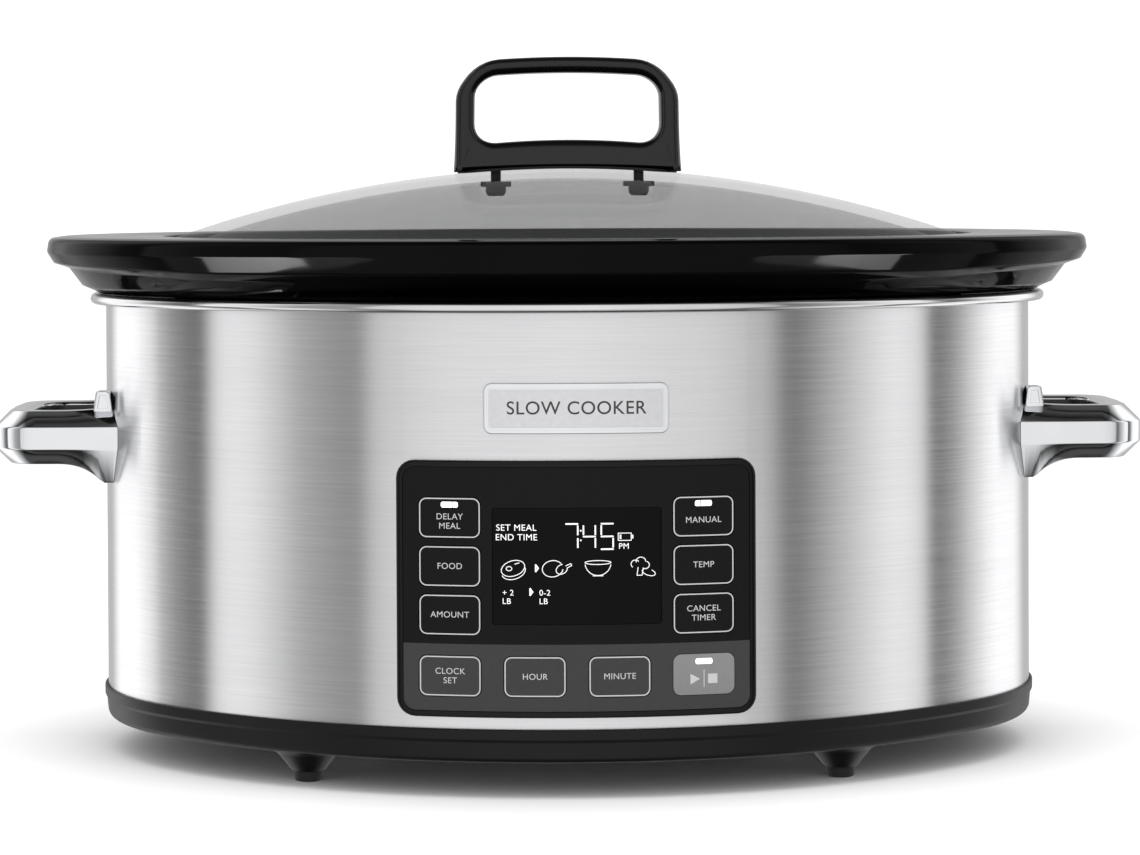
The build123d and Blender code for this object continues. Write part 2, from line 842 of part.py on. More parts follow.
# Light pipes that carry each lamp to the face of its key
with BuildPart() as indicator_lenses:
    with BuildSketch(Plane.XZ.offset(-board_front + led_height + fit_gap)):
        with Locations(*lens_places):
            RectangleRounded(lens_width, lens_height, lens_height / 3)
    extrude(amount=far)
    with BuildSketch(Plane.XY.offset(base_bottom)):
        wall_oval(key_front)
    extrude(amount=bead_top, mode=Mode.INTERSECT)
save(indicator_lenses, "indicator_lenses")

# ---- Control board behind the panel ----

with BuildPart() as control_board:
    with BuildSketch(Plane.XZ.offset(-board_front)):
        with Locations((0, panel_middle)):
            Rectangle(board_width, board_height)
        with Locations(*board_posts):
            Circle(board_screw_radius, mode=Mode.SUBTRACT)
    extrude(amount=-board_thickness)
save(control_board, "control_board")

with BuildPart() as key_switches:
    with BuildSketch(Plane.XZ.offset(-board_front)):
        with Locations(*key_places.values()):
            Rectangle(switch_size, switch_size)
    extrude(amount=switch_height)
    with BuildSketch(Plane.XZ.offset(-board_front + switch_height)):
        with Locations(*key_places.values()):
            Circle(plunger_radius)
    extrude(amount=plunger_height)
save(key_switches, "key_switches")

with BuildPart() as indicator_leds:
    with BuildSketch(Plane.XZ.offset(-board_front)):
        with Locations(*lens_places):
            Rectangle(led_size, led_size / 2)
    extrude(amount=led_height)
save(indicator_leds, "indicator_leds")

lcd_width = window_width - 2 * glass_panel_margin - 2 * fit_gap
lcd_height = window_height - 2 * glass_panel_margin - 2 * fit_gap

with BuildPart() as display_glass:
    with BuildSketch(Plane.XZ.offset(-lcd_back)):
        with Locations((0, window_middle)):
            Rectangle(lcd_width, lcd_height)
    extrude(amount=glass_panel_thickness)
save(display_glass, "display_glass")

with BuildPart() as display_backlight:
    with BuildSketch(Plane.XZ.offset(-board_front)):
        with Locations((0, window_middle)):
            Rectangle(lcd_width, lcd_height)
    extrude(amount=board_front - lcd_back)
save(display_backlight, "display_backlight")

# ---- Power board on the base pan ----

power_top = power_height + board_thickness
power_parts = {
    "relay": (relay_size, (-32.0, 52.0)),
    "transformer": (transformer_size, (30.0, 50.0)),
    "capacitor": (capacitor_size, (0.0, 38.0)),
    "terminal_block": (terminal_size, (0.0, 62.0)),
}

with BuildPart() as power_board:
    with BuildSketch(Plane.XY.offset(power_height)):
        with Locations((0, power_middle)):
            Rectangle(power_width, power_depth)
        with Locations(*power_post_places):
            Circle(board_screw_radius, mode=Mode.SUBTRACT)
    extrude(amount=board_thickness)
save(power_board, "power_board")

for name, (size, place) in power_parts.items():
    with BuildPart(Plane.XY.offset(power_top)) as component:
        with Locations(place):
            Box(*size, align=centre_top)
        fillet(component.edges().filter_by(Axis.Z), part_round)
        fillet(component.faces().sort_by(Axis.Z)[-1].edges(), part_round / 2)
    save(component, name)

# One set of small screws holds both boards
with BuildPart() as board_screws:
    front_pins(board_posts, board_screw_radius, board_front - board_screw_bite, board_back)
    front_pins(board_posts, board_screw_head_radius, board_back, board_back + board_screw_head_height)
    with Locations(*[(x, y, power_height - base_floor) for x, y in power_post_places]):
        Cylinder(board_screw_radius, base_floor + board_thickness, align=centre_top)
    with Locations(*[(x, y, power_top) for x, y in power_post_places]):
        Cylinder(board_screw_head_radius, board_screw_head_height, align=centre_top)
save(board_screws, "board_screws")

# Flat ribbon from the control board's header down and back to the power board's
header_width, header_depth, header_height = header_size
ribbon_front_y = board_back + header_depth / 2
ribbon_back_y = power_middle - power_depth / 2
control_header_z = panel_middle - board_height / 2 + header_height
ribbon_z = power_top + header_depth / 2

with BuildPart() as ribbon_cable:
    with BuildSketch(Plane.YZ):
        with BuildLine():
            FilletPolyline(
                (ribbon_front_y, control_header_z),
                (ribbon_front_y, ribbon_z),
                (ribbon_back_y, ribbon_z),
                radius=ribbon_bend,
            )
        trace(line_width=ribbon_thickness)
    extrude(amount=ribbon_width / 2, both=True)
save(ribbon_cable, "ribbon_cable")

with BuildPart() as ribbon_headers:
    with Locations((0, board_back, control_header_z)):
        Box(header_width, header_depth, header_height, align=(Align.CENTER, Align.MIN, Align.MIN))
    with Locations((0, ribbon_back_y, power_top)):
        Box(header_width, header_height, header_depth, align=(Align.CENTER, Align.MIN, Align.MIN))
save(ribbon_headers, "ribbon_headers")

# ---- Heat shield, sensor, heater band, fuse ----

with BuildPart() as heat_shield:
    with BuildSketch(Plane.XY.offset(shield_height)):
        wall_oval(-shield_inset)
        with Locations(*post_places):
            Circle(post_radius, mode=Mode.SUBTRACT)
        Circle(sensor_hole_radius, mode=Mode.SUBTRACT)
    extrude(amount=shield_thickness)
save(heat_shield, "heat_shield")

# Probe pressed against the middle of the well's floor
with BuildPart() as temperature_sensor:
    with BuildSketch(Plane.XY.offset(well_floor)):
        Circle(sensor_radius)
    extrude(amount=-sensor_thickness)
    with BuildSketch(Plane.XY.offset(well_floor - sensor_thickness)):
        Circle(sensor_stem_radius)
    extrude(amount=-(sensor_stem_length - sensor_thickness))
save(temperature_sensor, "temperature_sensor")

# Heating element in its sleeve, wrapped round the well and open at the back
with BuildPart() as heater_band:
    add(wall_band(-well_inset, -well_inset + band_thickness, band_bottom, band_bottom + band_height))
    with BuildSketch(Plane.XY.offset(band_bottom)):
        Rectangle(band_gap, far, align=(Align.CENTER, Align.MIN))
    extrude(amount=band_height, mode=Mode.SUBTRACT)
save(heater_band, "heater_band")

insulation_inner = -well_inset + band_thickness + fit_gap
with BuildPart() as band_insulation:
    add(
        wall_band(
            insulation_inner,
            insulation_inner + insulation_thickness,
            band_bottom - insulation_overlap,
            band_bottom + band_height + insulation_overlap,
        )
    )
    with BuildSketch(Plane.XY.offset(band_bottom - insulation_overlap)):
        Rectangle(insulation_gap, far, align=(Align.CENTER, Align.MIN))
    extrude(amount=band_height + 2 * insulation_overlap, mode=Mode.SUBTRACT)
save(band_insulation, "band_insulation")

# Two clamp halves with lugs, drawn together by a screw
band_middle = band_bottom + band_height / 2
clamp_inner = -well_inset + band_thickness
clamp_face_y = wall_half_depth + clamp_inner
lug_x = band_gap / 2 - clamp_lug_thickness
with BuildPart() as band_clamps:
    add(
        wall_plate(
            clamp_inner,
            clamp_inner + clamp_thickness,
            clamp_width,
            clamp_height,
            part_round,
            0,
            band_middle,
            rear=True,
        )
    )
    with BuildSketch(Plane.XZ.offset(-clamp_face_y)):
        with Locations((0, band_middle)):
            Rectangle(2 * lug_x, clamp_height + fit_gap)
    extrude(amount=-far, mode=Mode.SUBTRACT)
    with Locations((-lug_x, clamp_face_y, band_middle)):
        Box(
            clamp_lug_thickness,
            clamp_lug_height,
            clamp_height,
            align=(Align.MAX, Align.MIN, Align.CENTER),
        )
    with Locations((lug_x, clamp_face_y, band_middle)):
        Box(
            clamp_lug_thickness,
            clamp_lug_height,
            clamp_height,
            align=(Align.MIN, Align.MIN, Align.CENTER),
        )
    with Locations(Plane.YZ * Location((clamp_face_y + clamp_lug_height / 2 + clamp_thickness, band_middle))):
        Cylinder(clamp_screw_radius, far, mode=Mode.SUBTRACT)
save(band_clamps, "band_clamps")

with BuildPart() as clamp_screw:
    clamp_screw_place = (clamp_face_y + clamp_lug_height / 2 + clamp_thickness, band_middle)
    with BuildSketch(Plane.YZ.offset(-lug_x - clamp_lug_thickness - clamp_screw_head_radius)):
        with Locations(clamp_screw_place):
            Circle(clamp_screw_head_radius)
    extrude(amount=clamp_screw_head_radius)
    with BuildSketch(Plane.YZ.offset(-lug_x - clamp_lug_thickness)):
        with Locations(clamp_screw_place):
            Circle(clamp_screw_radius)
    extrude(amount=2 * (lug_x + clamp_lug_thickness) + clamp_screw_radius)
save(clamp_screw, "clamp_screw")

# One-shot thermal fuse lying against the well, under a spring clip
fuse_y = wall_half_depth - well_inset + fuse_radius + fit_gap
with BuildPart() as thermal_fuse:
    with BuildSketch(Plane.YZ.offset(-fuse_length / 2)):
        with Locations((fuse_y, fuse_z)):
            Circle(fuse_radius)
    extrude(amount=fuse_length)
save(thermal_fuse, "thermal_fuse")

clip_y = fuse_y - fuse_radius + clip_thickness / 2
with BuildPart() as fuse_clip:
    with BuildSketch(Plane.YZ.offset(-clip_width / 2)):
        with Locations((fuse_y, fuse_z)):
            Circle(fuse_radius + clip_thickness)
        with Locations((clip_y, fuse_z)):
            Rectangle(clip_thickness, clip_tongue, align=(Align.MIN, Align.MIN))
            Rectangle(fuse_radius, clip_tongue, align=(Align.MAX, Align.CENTER), mode=Mode.SUBTRACT)
        with Locations((fuse_y, fuse_z)):
            Circle(fuse_radius, mode=Mode.SUBTRACT)
    extrude(amount=clip_width)
save(fuse_clip, "fuse_clip")

# ---- Cord gland, empty ----

wall_y = wall_half_depth
nut_y = wall_y - wrap_thickness - gland_flange_radius**2 / (2 * wall_half_length)

with BuildPart() as cord_gland:
    with BuildSketch(Plane.XZ.offset(-wall_y - fit_gap)):
        with Locations((0, gland_z)):
            Circle(gland_flange_radius)
    extrude(amount=-gland_flange_thickness)
    fillet(cord_gland.faces().sort_by(Axis.Y)[-1].edges(), part_round)
    with BuildSketch(Plane.XZ.offset(-wall_y - fit_gap)):
        with Locations((0, gland_z)):
            Circle(gland_radius - fit_gap)
    extrude(amount=gland_tail)
    with BuildSketch(Plane.XZ):
        with Locations((0, gland_z)):
            Circle(gland_bore_radius)
    extrude(amount=-far, mode=Mode.SUBTRACT)
save(cord_gland, "cord_gland")

with BuildPart() as gland_nut:
    with BuildSketch(Plane.XZ.offset(-nut_y)):
        with Locations((0, gland_z)):
            RegularPolygon(gland_flange_radius, 6)
            Circle(gland_radius - fit_gap, mode=Mode.SUBTRACT)
    extrude(amount=gland_nut_thickness)
save(gland_nut, "gland_nut")
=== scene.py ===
import bpy
import bmesh
from math import atan2, cos, hypot, pi, radians, sin, sqrt, tan
from mathutils import Matrix, Vector


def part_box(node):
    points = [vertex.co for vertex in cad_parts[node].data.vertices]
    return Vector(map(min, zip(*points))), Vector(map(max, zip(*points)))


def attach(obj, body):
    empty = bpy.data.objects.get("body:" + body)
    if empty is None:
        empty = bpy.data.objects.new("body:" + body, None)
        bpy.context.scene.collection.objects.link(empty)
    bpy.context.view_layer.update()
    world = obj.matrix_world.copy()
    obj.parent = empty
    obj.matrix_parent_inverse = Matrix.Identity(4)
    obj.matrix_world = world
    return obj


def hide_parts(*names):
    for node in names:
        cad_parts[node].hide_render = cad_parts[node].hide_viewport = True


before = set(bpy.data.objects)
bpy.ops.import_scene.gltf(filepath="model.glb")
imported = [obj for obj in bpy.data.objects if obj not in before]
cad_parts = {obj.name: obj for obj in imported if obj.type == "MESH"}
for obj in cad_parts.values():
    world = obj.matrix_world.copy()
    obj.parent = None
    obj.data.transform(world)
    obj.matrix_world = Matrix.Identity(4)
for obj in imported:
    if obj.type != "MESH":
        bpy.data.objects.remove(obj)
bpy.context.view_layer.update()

# Sizes are written in millimetres and turned to metres where a mesh is made
MM = 0.001


# ---- Base pan ----
# One injection moulding in black polypropylene under the whole cooker: a shallow oval tray with
# a raised lip that the wall stands inside, a vented floor and four hollow foot bosses. It is
# fixed up into the steel posts under the well with four screws.

WALL = (180.0, 131.0, 95.0)


def linear(code):
    """A hex colour such as "#1c1c1c" as linear red, green, blue and alpha."""
    channels = [int(code[i : i + 2], 16) / 255 for i in (1, 3, 5)]
    return (*[c / 12.92 if c <= 0.04045 else ((c + 0.055) / 1.055) ** 2.4 for c in channels], 1.0)


def add_node(tree, kind, settings=None, **links):
    """Adds a node, sets its properties and sockets, and links sockets named in links."""
    made = tree.nodes.new("ShaderNode" + kind)
    for name, value in (settings or {}).items():
        if hasattr(made, name):
            setattr(made, name, value)
        else:
            made.inputs[int(name) if name.isdigit() else name].default_value = value
    for name, source in links.items():
        socket = name.replace("_", " ")
        tree.links.new(source, made.inputs[int(name[1:]) if name[1:].isdigit() else socket])
    return made


def new_material(name, **settings):
    """A material with one Principled shader; returns the material, its tree and the shader."""
    material = bpy.data.materials.new(name)
    material.use_nodes = True
    shader = material.node_tree.nodes["Principled BSDF"]
    for socket, value in settings.items():
        shader.inputs[socket.replace("_", " ")].default_value = value
    return material, material.node_tree, shader


def grain(tree, shader, scale, stretch, height, roughness=None, detail=3.0):
    """Drives a shader's normal, and its roughness if a range is given, from stretched noise."""
    place = add_node(tree, "TexCoord")
    mapping = add_node(tree, "Mapping", {"Scale": stretch}, Vector=place.outputs["Object"])
    noise = add_node(tree, "TexNoise", {"Scale": scale, "Detail": detail}, Vector=mapping.outputs[0])
    bump = add_node(tree, "Bump", {"Distance": height, "Strength": 1.0}, Height=noise.outputs["Fac"])
    tree.links.new(bump.outputs[0], shader.inputs["Normal"])
    if roughness:
        low, high = roughness
        spread = add_node(
            tree, "MapRange", {"From Min": 0.35, "From Max": 0.65, "To Min": low, "To Max": high},
            Value=noise.outputs["Fac"],
        )
        tree.links.new(spread.outputs[0], shader.inputs["Roughness"])
    return noise


def mottle(tree, shader, dark, light, scale):
    """Varies a shader's colour slightly between two hex colours, in soft patches."""
    place = add_node(tree, "TexCoord")
    noise = add_node(tree, "TexNoise", {"Scale": scale, "Detail": 2.0}, Vector=place.outputs["Object"])
    mix = add_node(
        tree, "Mix", {"data_type": "RGBA", "6": linear(dark), "7": linear(light)}, _0=noise.outputs["Fac"]
    )
    tree.links.new(mix.outputs[2], shader.inputs["Base Color"])


# Spark-eroded mould finish: a fine even grain about 0.4 mm across, soft highlights
satin_black, tree, shader = new_material(
    "moulded satin black polypropylene", IOR=1.49, Specular_IOR_Level=0.22
)
mottle(tree, shader, "#0b0b0c", "#101011", 40)
grain(tree, shader, 2400, (1, 1, 1), 0.00003, (0.30, 0.42))


def rounded(corners, steps=5):
    """Points of an open outline whose corners (x, y, radius) are turned into arcs."""
    points = []
    for i, (x, y, radius) in enumerate(corners):
        if not radius:
            points.append((x, y))
            continue
        here = Vector((x, y))
        before = (Vector(corners[i - 1][:2]) - here).normalized()
        after = (Vector(corners[(i + 1) % len(corners)][:2]) - here).normalized()
        half_turn = before.angle(after) / 2
        middle = here + (before + after).normalized() * radius / sin(half_turn)
        start = here + before * radius / tan(half_turn) - middle
        end = here + after * radius / tan(half_turn) - middle
        sweep = start.angle_signed(end)
        for k in range(steps + 1):
            arm = start.copy()
            arm.rotate(Matrix.Rotation(-sweep * k / steps, 2))
            points.append(tuple(middle + arm))
    return points


def oval_centres(oval):
    """Where an oval's end arc and side arc have their centres, and the angle where they meet."""
    half_length, half_depth, end_radius = oval
    end_x = half_length - end_radius
    side_radius = (end_x**2 + half_depth**2 - end_radius**2) / (2 * (half_depth - end_radius))
    side_y = side_radius - half_depth
    return end_x, side_y, side_radius, atan2(side_y, end_x)


def made_since(bm, old):
    """The vertices that weren't in the set taken before."""
    return [v for v in bm.verts if v not in old]


def sweep_oval(bm, profile, oval, closed=False, end_steps=22, side_steps=30):
    """Spins a profile of (distance outside the oval, height) round the oval's four arcs."""
    end_x, side_y, _, meet = oval_centres(oval)
    end_radius = oval[2]
    old = set(bm.verts)
    verts = [
        bm.verts.new(
            (
                (end_x + (end_radius + out) * cos(meet)) * MM,
                -(end_radius + out) * sin(meet) * MM,
                height * MM,
            )
        )
        for out, height in profile
    ]
    pairs = list(zip(verts, verts[1:] + (verts[:1] if closed else [])))
    geom = verts + [bm.edges.new(pair) for pair in (pairs if closed else pairs[: len(verts) - 1])]
    for centre, turn, steps in (
        ((end_x, 0), 2 * meet, end_steps),
        ((0, -side_y), pi - 2 * meet, side_steps),
        ((-end_x, 0), 2 * meet, end_steps),
        ((0, side_y), pi - 2 * meet, side_steps),
    ):
        spun = bmesh.ops.spin(
            bm,
            geom=geom,
            cent=(centre[0] * MM, centre[1] * MM, 0),
            axis=(0, 0, 1),
            angle=turn,
            steps=steps,
            use_merge=False,
            use_duplicate=False,
        )
        geom = spun["geom_last"]
    bmesh.ops.remove_doubles(bm, verts=made_since(bm, old), dist=1e-6)


def close_hole(bm, height, near=0.05):
    """Fills the open edge loop that lies level at a height."""
    rim = [
        e for e in bm.edges
        if e.is_boundary and all(abs(v.co.z / MM - height) < near for v in e.verts)
    ]
    return bmesh.ops.edgeloop_fill(bm, edges=rim)["faces"]


def finish_piece(bm, name, materials, body, replaces=(), sharp=35, recalc=True):
    """Makes the mesh an object at the origin, shades it and ties it to the frame."""
    if recalc:
        bmesh.ops.recalc_face_normals(bm, faces=bm.faces)
    mesh = bpy.data.meshes.new(name)
    bm.to_mesh(mesh)
    bm.free()
    for material in materials:
        mesh.materials.append(material)
    mesh.shade_smooth()
    mesh.set_sharp_from_angle(angle=radians(sharp))
    piece = bpy.data.objects.new(name, mesh)
    bpy.context.scene.collection.objects.link(piece)
    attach(piece, body)
    if replaces:
        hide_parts(*replaces)
    return piece


def move_new(bm, old, offset):
    """Moves every vertex made since the set in old was taken."""
    bmesh.ops.translate(bm, verts=made_since(bm, old), vec=Vector(offset) * MM)


def lathe(bm, profile, place, steps=32, turn=None):
    """Spins a profile of (radius, height) about the Z axis at a place, ends on the axis closed."""
    old = set(bm.verts)
    verts = [bm.verts.new((radius * MM, 0, height * MM)) for radius, height in profile]
    edges = [bm.edges.new(pair) for pair in zip(verts, verts[1:])]
    bmesh.ops.spin(
        bm, geom=verts + edges, cent=(0, 0, 0), axis=(0, 0, 1), angle=2 * pi, steps=steps,
        use_merge=True, use_duplicate=False,
    )
    bmesh.ops.remove_doubles(bm, verts=made_since(bm, old), dist=1e-6)
    if turn:
        bmesh.ops.rotate(bm, verts=made_since(bm, old), cent=(0, 0, 0), matrix=turn)
    move_new(bm, old, place)


pan_bottom = 12.6
lip_top = 25.0
pan_floor = 2.5
foot_places = [(x, y) for x in (-97.6, 97.6) for y in (-87.0, 87.0)]
foot_height = 4.0

bm = bmesh.new()
outside = rounded(
    [
        (-8, pan_bottom, 0),
        (-0.2, pan_bottom, 3.0),
        (0.55, 20.2, 0.6),
        (1.25, 21.4, 0.6),
        (1.3, lip_top, 0.55),
        (0.15, lip_top, 0.4),
        (0.15, 22.5, 0),
        (-2.2, 22.5, 0.4),
        (-2.2, pan_bottom + pan_floor, 0),
    ]
)
sweep_oval(bm, outside, WALL)
close_hole(bm, pan_bottom + pan_floor)
floor_rim = [e for e in bm.edges if e.is_boundary]
slots = []
for x in (-80, 80):
    for row in range(4):
        y = (row - 1.5) * 9
        slot_outline = rounded([
            (x - 13, y - 1.75, 1.7), (x + 13, y - 1.75, 1.7), (x + 13, y + 1.75, 1.7), (x - 13, y + 1.75, 1.7),
        ])
        verts = [bm.verts.new((px * MM, py * MM, pan_bottom * MM)) for px, py in slot_outline]
        slots += [bm.edges.new(pair) for pair in zip(verts, verts[1:] + verts[:1])]
bmesh.ops.triangle_fill(bm, edges=floor_rim + slots, use_beauty=True, use_dissolve=False)
walls = bmesh.ops.extrude_edge_only(bm, edges=slots)
bmesh.ops.translate(
    bm, verts=[v for v in walls["geom"] if isinstance(v, bmesh.types.BMVert)], vec=(0, 0, pan_floor * MM)
)
boss = rounded([
    (3.7, foot_height, 0), (6.2, foot_height, 0.8), (11.4, 10.6, 4.0), (15.5, pan_bottom + 0.1, 0),
])
for x, y in foot_places:
    lathe(bm, boss, (x, y, 0))
    lathe(bm, [(3.7, foot_height), (3.7, pan_bottom)], (x, y, 0))
finish_piece(bm, "base_pan_moulding", [satin_black], "base", ["base_pan"], recalc=True)


# ---- Feet ----
# Four nitrile rubber feet, pushed up into the bosses by a plug. They are moulded with a soft
# edge and a shallow hollow underneath, so that only a ring stands on the worktop.

# Moulded rubber: very dark, dull, with a faint bloom
rubber, tree, shader = new_material("moulded black rubber", IOR=1.52, Specular_IOR_Level=0.35)
mottle(tree, shader, "#101010", "#191919", 120)
grain(tree, shader, 3000, (1, 1, 1), 0.00002, (0.62, 0.78))

bm = bmesh.new()
foot = rounded(
    [
        (0, 0.7, 0), (2.6, 0.7, 0.3), (3.2, 0, 0.3), (4.9, 0, 0.7),
        (5.25, foot_height, 0.25), (3.6, foot_height, 0), (3.6, 8.4, 0), (0, 8.4, 0),
    ]
)
for x, y in foot_places:
    lathe(bm, foot, (x, y, 0))
finish_piece(bm, "rubber_feet", [rubber], "base", ["feet"])


# ---- Outer wall ----
# A strip of 0.6 mm stainless steel, brushed along its length, rolled into the oval and closed
# by a lapped seam at the back. The pan's lip holds its lower edge, the well's flange its upper.

wall_bottom = 22.6
wall_top = 174.7
sheet = 0.6
panel_width = 128.0
panel_height = 91.1
panel_middle = 74.75

# Long-belt brushing: grooves about 0.1 mm apart run level round the wall and spread each
# highlight upwards and downwards; drawn here about 0.8 mm apart so that they show
brushed_steel, tree, shader = new_material(
    "brushed stainless steel", Metallic=1.0, Roughness=0.25, Anisotropic=0.98, Anisotropic_Rotation=0.25
)
place = add_node(tree, "TexCoord")
streak_map = add_node(tree, "Mapping", {"Scale": (28, 28, 1500)}, Vector=place.outputs["Object"])
streaks = add_node(tree, "TexNoise", {"Scale": 1.0, "Detail": 4.0}, Vector=streak_map.outputs[0])
patch_map = add_node(tree, "Mapping", {"Scale": (6, 6, 60)}, Vector=place.outputs["Object"])
patches = add_node(tree, "TexNoise", {"Scale": 1.0, "Detail": 2.0}, Vector=patch_map.outputs[0])
blend = add_node(
    tree, "Mix", {"data_type": "FLOAT", "0": 0.3}, _2=streaks.outputs["Fac"], _3=patches.outputs["Fac"]
)
steel_tone = add_node(
    tree, "Mix", {"data_type": "RGBA", "6": linear("#cfcfd1"), "7": linear("#ededee")}, _0=blend.outputs[0]
)
tree.links.new(steel_tone.outputs[2], shader.inputs["Base Color"])
steel_rough = add_node(
    tree, "MapRange", {"From Min": 0.3, "From Max": 0.7, "To Min": 0.235, "To Max": 0.27},
    Value=streaks.outputs["Fac"],
)
tree.links.new(steel_rough.outputs[0], shader.inputs["Roughness"])
steel_bump = add_node(tree, "Bump", {"Distance": 0.00002, "Strength": 0.6}, Height=streaks.outputs["Fac"])
tree.links.new(steel_bump.outputs[0], shader.inputs["Normal"])
round_wall = add_node(tree, "Tangent", {"direction_type": "RADIAL", "axis": "Z"})
tree.links.new(round_wall.outputs[0], shader.inputs["Tangent"])


def cut_across(bm, point, normal):
    """Cuts the mesh by a plane and keeps both sides."""
    geom = bm.verts[:] + bm.edges[:] + bm.faces[:]
    bmesh.ops.bisect_plane(bm, geom=geom, plane_co=Vector(point) * MM, plane_no=normal, dist=1e-7)


bm = bmesh.new()
sweep_oval(
    bm,
    [(0, wall_bottom), (0, 60), (0, 100), (0, 140), (0, wall_top), (-sheet, wall_top), (-sheet, wall_bottom)],
    WALL, closed=True, end_steps=40, side_steps=56,
)
opening_x = panel_width / 2 - 2.9
opening_z = panel_height / 2 - 2.9
for x in (-opening_x, opening_x):
    cut_across(bm, (x, 0, 0), (1, 0, 0))
for z in (panel_middle - opening_z, panel_middle + opening_z):
    cut_across(bm, (0, 0, z), (0, 0, 1))
inside = [
    f for f in bm.faces
    if abs(f.calc_center_median().x) < opening_x * MM
    and abs(f.calc_center_median().z - panel_middle * MM) < opening_z * MM
    and f.calc_center_median().y < 0
]
bmesh.ops.delete(bm, geom=inside, context="FACES")
finish_piece(bm, "brushed_wall", [brushed_steel], "base", ["outer_wrap"], recalc=False)


# ---- Heating well ----
# A cup drawn from stainless sheet. The pot hangs in it, and its flange runs out over the wall
# and is curled down into the polished bead that finishes the wall's top edge.

well = -22.0
bead_top = 176.3

# Polished after drawing: nearly a mirror, with faint level draw lines
polished_steel, tree, shader = new_material("polished stainless steel", Metallic=1.0)
mottle(tree, shader, "#cfcfd0", "#e2e2e3", 30)
grain(tree, shader, 1.0, (40, 40, 900), 0.000004, (0.08, 0.16))

bm = bmesh.new()
cup = rounded(
    [
        (well - 14, 50, 0),
        (well, 50, 11),
        (well, 174.9, 0.7),
        (0.9, 174.9, 0),
        (0.9, 172.6, 0.3),
        (5.2, 172.3, 1.7),
        (6.0, 174.0, 0.8),
        (5.7, bead_top, 1.9),
        (0.8, bead_top, 1.0),
        (-0.4, 175.7, 0.6),
        (well - 0.8, 175.7, 0.9),
        (well - 0.8, 50.8, 10.5),
        (well - 14, 50.8, 0),
    ]
)
sweep_oval(bm, cup, WALL)
close_hole(bm, 50)
close_hole(bm, 50.8)
finish_piece(bm, "heating_well_cup", [polished_steel], "base", ["heating_well"])


# ---- Stoneware pot ----
# Cast stoneware, glazed gloss black all over and fired. The wall stands in the well, the
# shoulder rests on the bead, and the thick rim spreads into two lifting lugs at the ends.

LID_SEAT = (157.7, 119.7, 101.2)
RIM = (202.7, 140.0, 120.0)
rim_top = 198.5

# Thick glaze over a slightly uneven body: mirror gloss that waves gently, tiny pinholes
stoneware, tree, shader = new_material("gloss black glazed stoneware", IOR=1.55, Specular_IOR_Level=0.05)
mottle(tree, shader, "#030303", "#060606", 18)
grain(tree, shader, 55, (1, 1, 1), 0.00012, (0.05, 0.10), detail=1.0)


def bridge_level(bm, low, high, near=0.05):
    """Joins the two open loops that lie level at two heights."""
    edges = [
        e for e in bm.edges
        if e.is_boundary and (
            all(abs(v.co.z / MM - low) < near for v in e.verts)
            or all(abs(v.co.z / MM - high) < near for v in e.verts)
        )
    ]
    bmesh.ops.bridge_loops(bm, edges=edges)


bm = bmesh.new()
outer_wall = rounded(
    [
        (-42.0, 57.0, 0), (-31.5, 57.0, 20.0), (-26.8, 120.0, 0),
        (-26.6, 176.6, 1.5), (3.0, 176.6, 1.2), (5.0, 177.8, 0),
    ], 8
)
sweep_oval(bm, outer_wall, WALL)
close_hole(bm, 57.0)
lug = rounded(
    [
        (-13.5, 179.6, 0),
        (-8.0, 183.4, 8.0),
        (-2.6, 186.0, 2.0),
        (-0.1, 192.6, 3.0),
        (-0.9, 197.7, 2.6),
        (-6.5, 198.4, 5.0),
        (-20.0, rim_top, 0),
    ],
    8,
)
sweep_oval(bm, lug, RIM)
for v in bm.verts:
    to_end = min(1.0, max(0.0, (abs(v.co.x) / MM - 130) / 65))
    if 180.5 < v.co.z / MM < 192.0:
        v.co.z += (192.0 * MM - v.co.z) * 0.38 * to_end
bridge_level(bm, 177.8, 179.6)
seat = rounded(
    [(1.6, 198.3, 0), (0.0, 197.9, 0.8), (0.0, 193.0, 0.8), (-8.7, 193.0, 1.2), (-9.6, 188.0, 0)], 5
)
sweep_oval(bm, seat, LID_SEAT)
bridge_level(bm, rim_top, 198.3)
hollow = rounded([(-33.8, 178.0, 0), (-34.2, 160.0, 0), (-38.6, 66.0, 20.0), (-60.0, 66.0, 0)], 8)
sweep_oval(bm, hollow, WALL)
bridge_level(bm, 188.0, 178.0)
close_hole(bm, 66.0)
finish_piece(bm, "glazed_pot", [stoneware], "pot", ["stoneware_pot"], sharp=50)


# ---- Lid glass ----
# A dome pressed from 4 mm soda-lime glass, its edge fire-polished, then tempered. Two holes
# at the top take the handle's screws.

lid_half = (156.5, 118.5)
lid_under = 193.3
dome_top = 224.0
dome_rise = 27.7
glass = 4.0
dome_radius = (lid_half[0] ** 2 + dome_rise**2) / (2 * dome_rise)
dome_middle = dome_top - dome_radius
squash = lid_half[1] / lid_half[0]


def dome_height(x, y, lift=0.0):
    """Height of the dome's outer face, or a surface lifted off it, over a point."""
    radius = dome_radius + lift
    return dome_middle + sqrt(radius**2 - x**2 - (y / squash) ** 2)


# Clear glass with a faint grey tint and the slight waves of pressed glass
lid_clear, tree, shader = new_material(
    "tempered soda-lime glass", IOR=1.5, Alpha=0.29, Specular_IOR_Level=0.4
)
mottle(tree, shader, "#1c1f1f", "#262929", 5)
grain(tree, shader, 14, (1, 1, 1), 0.0001, (0.015, 0.03), detail=1.0)

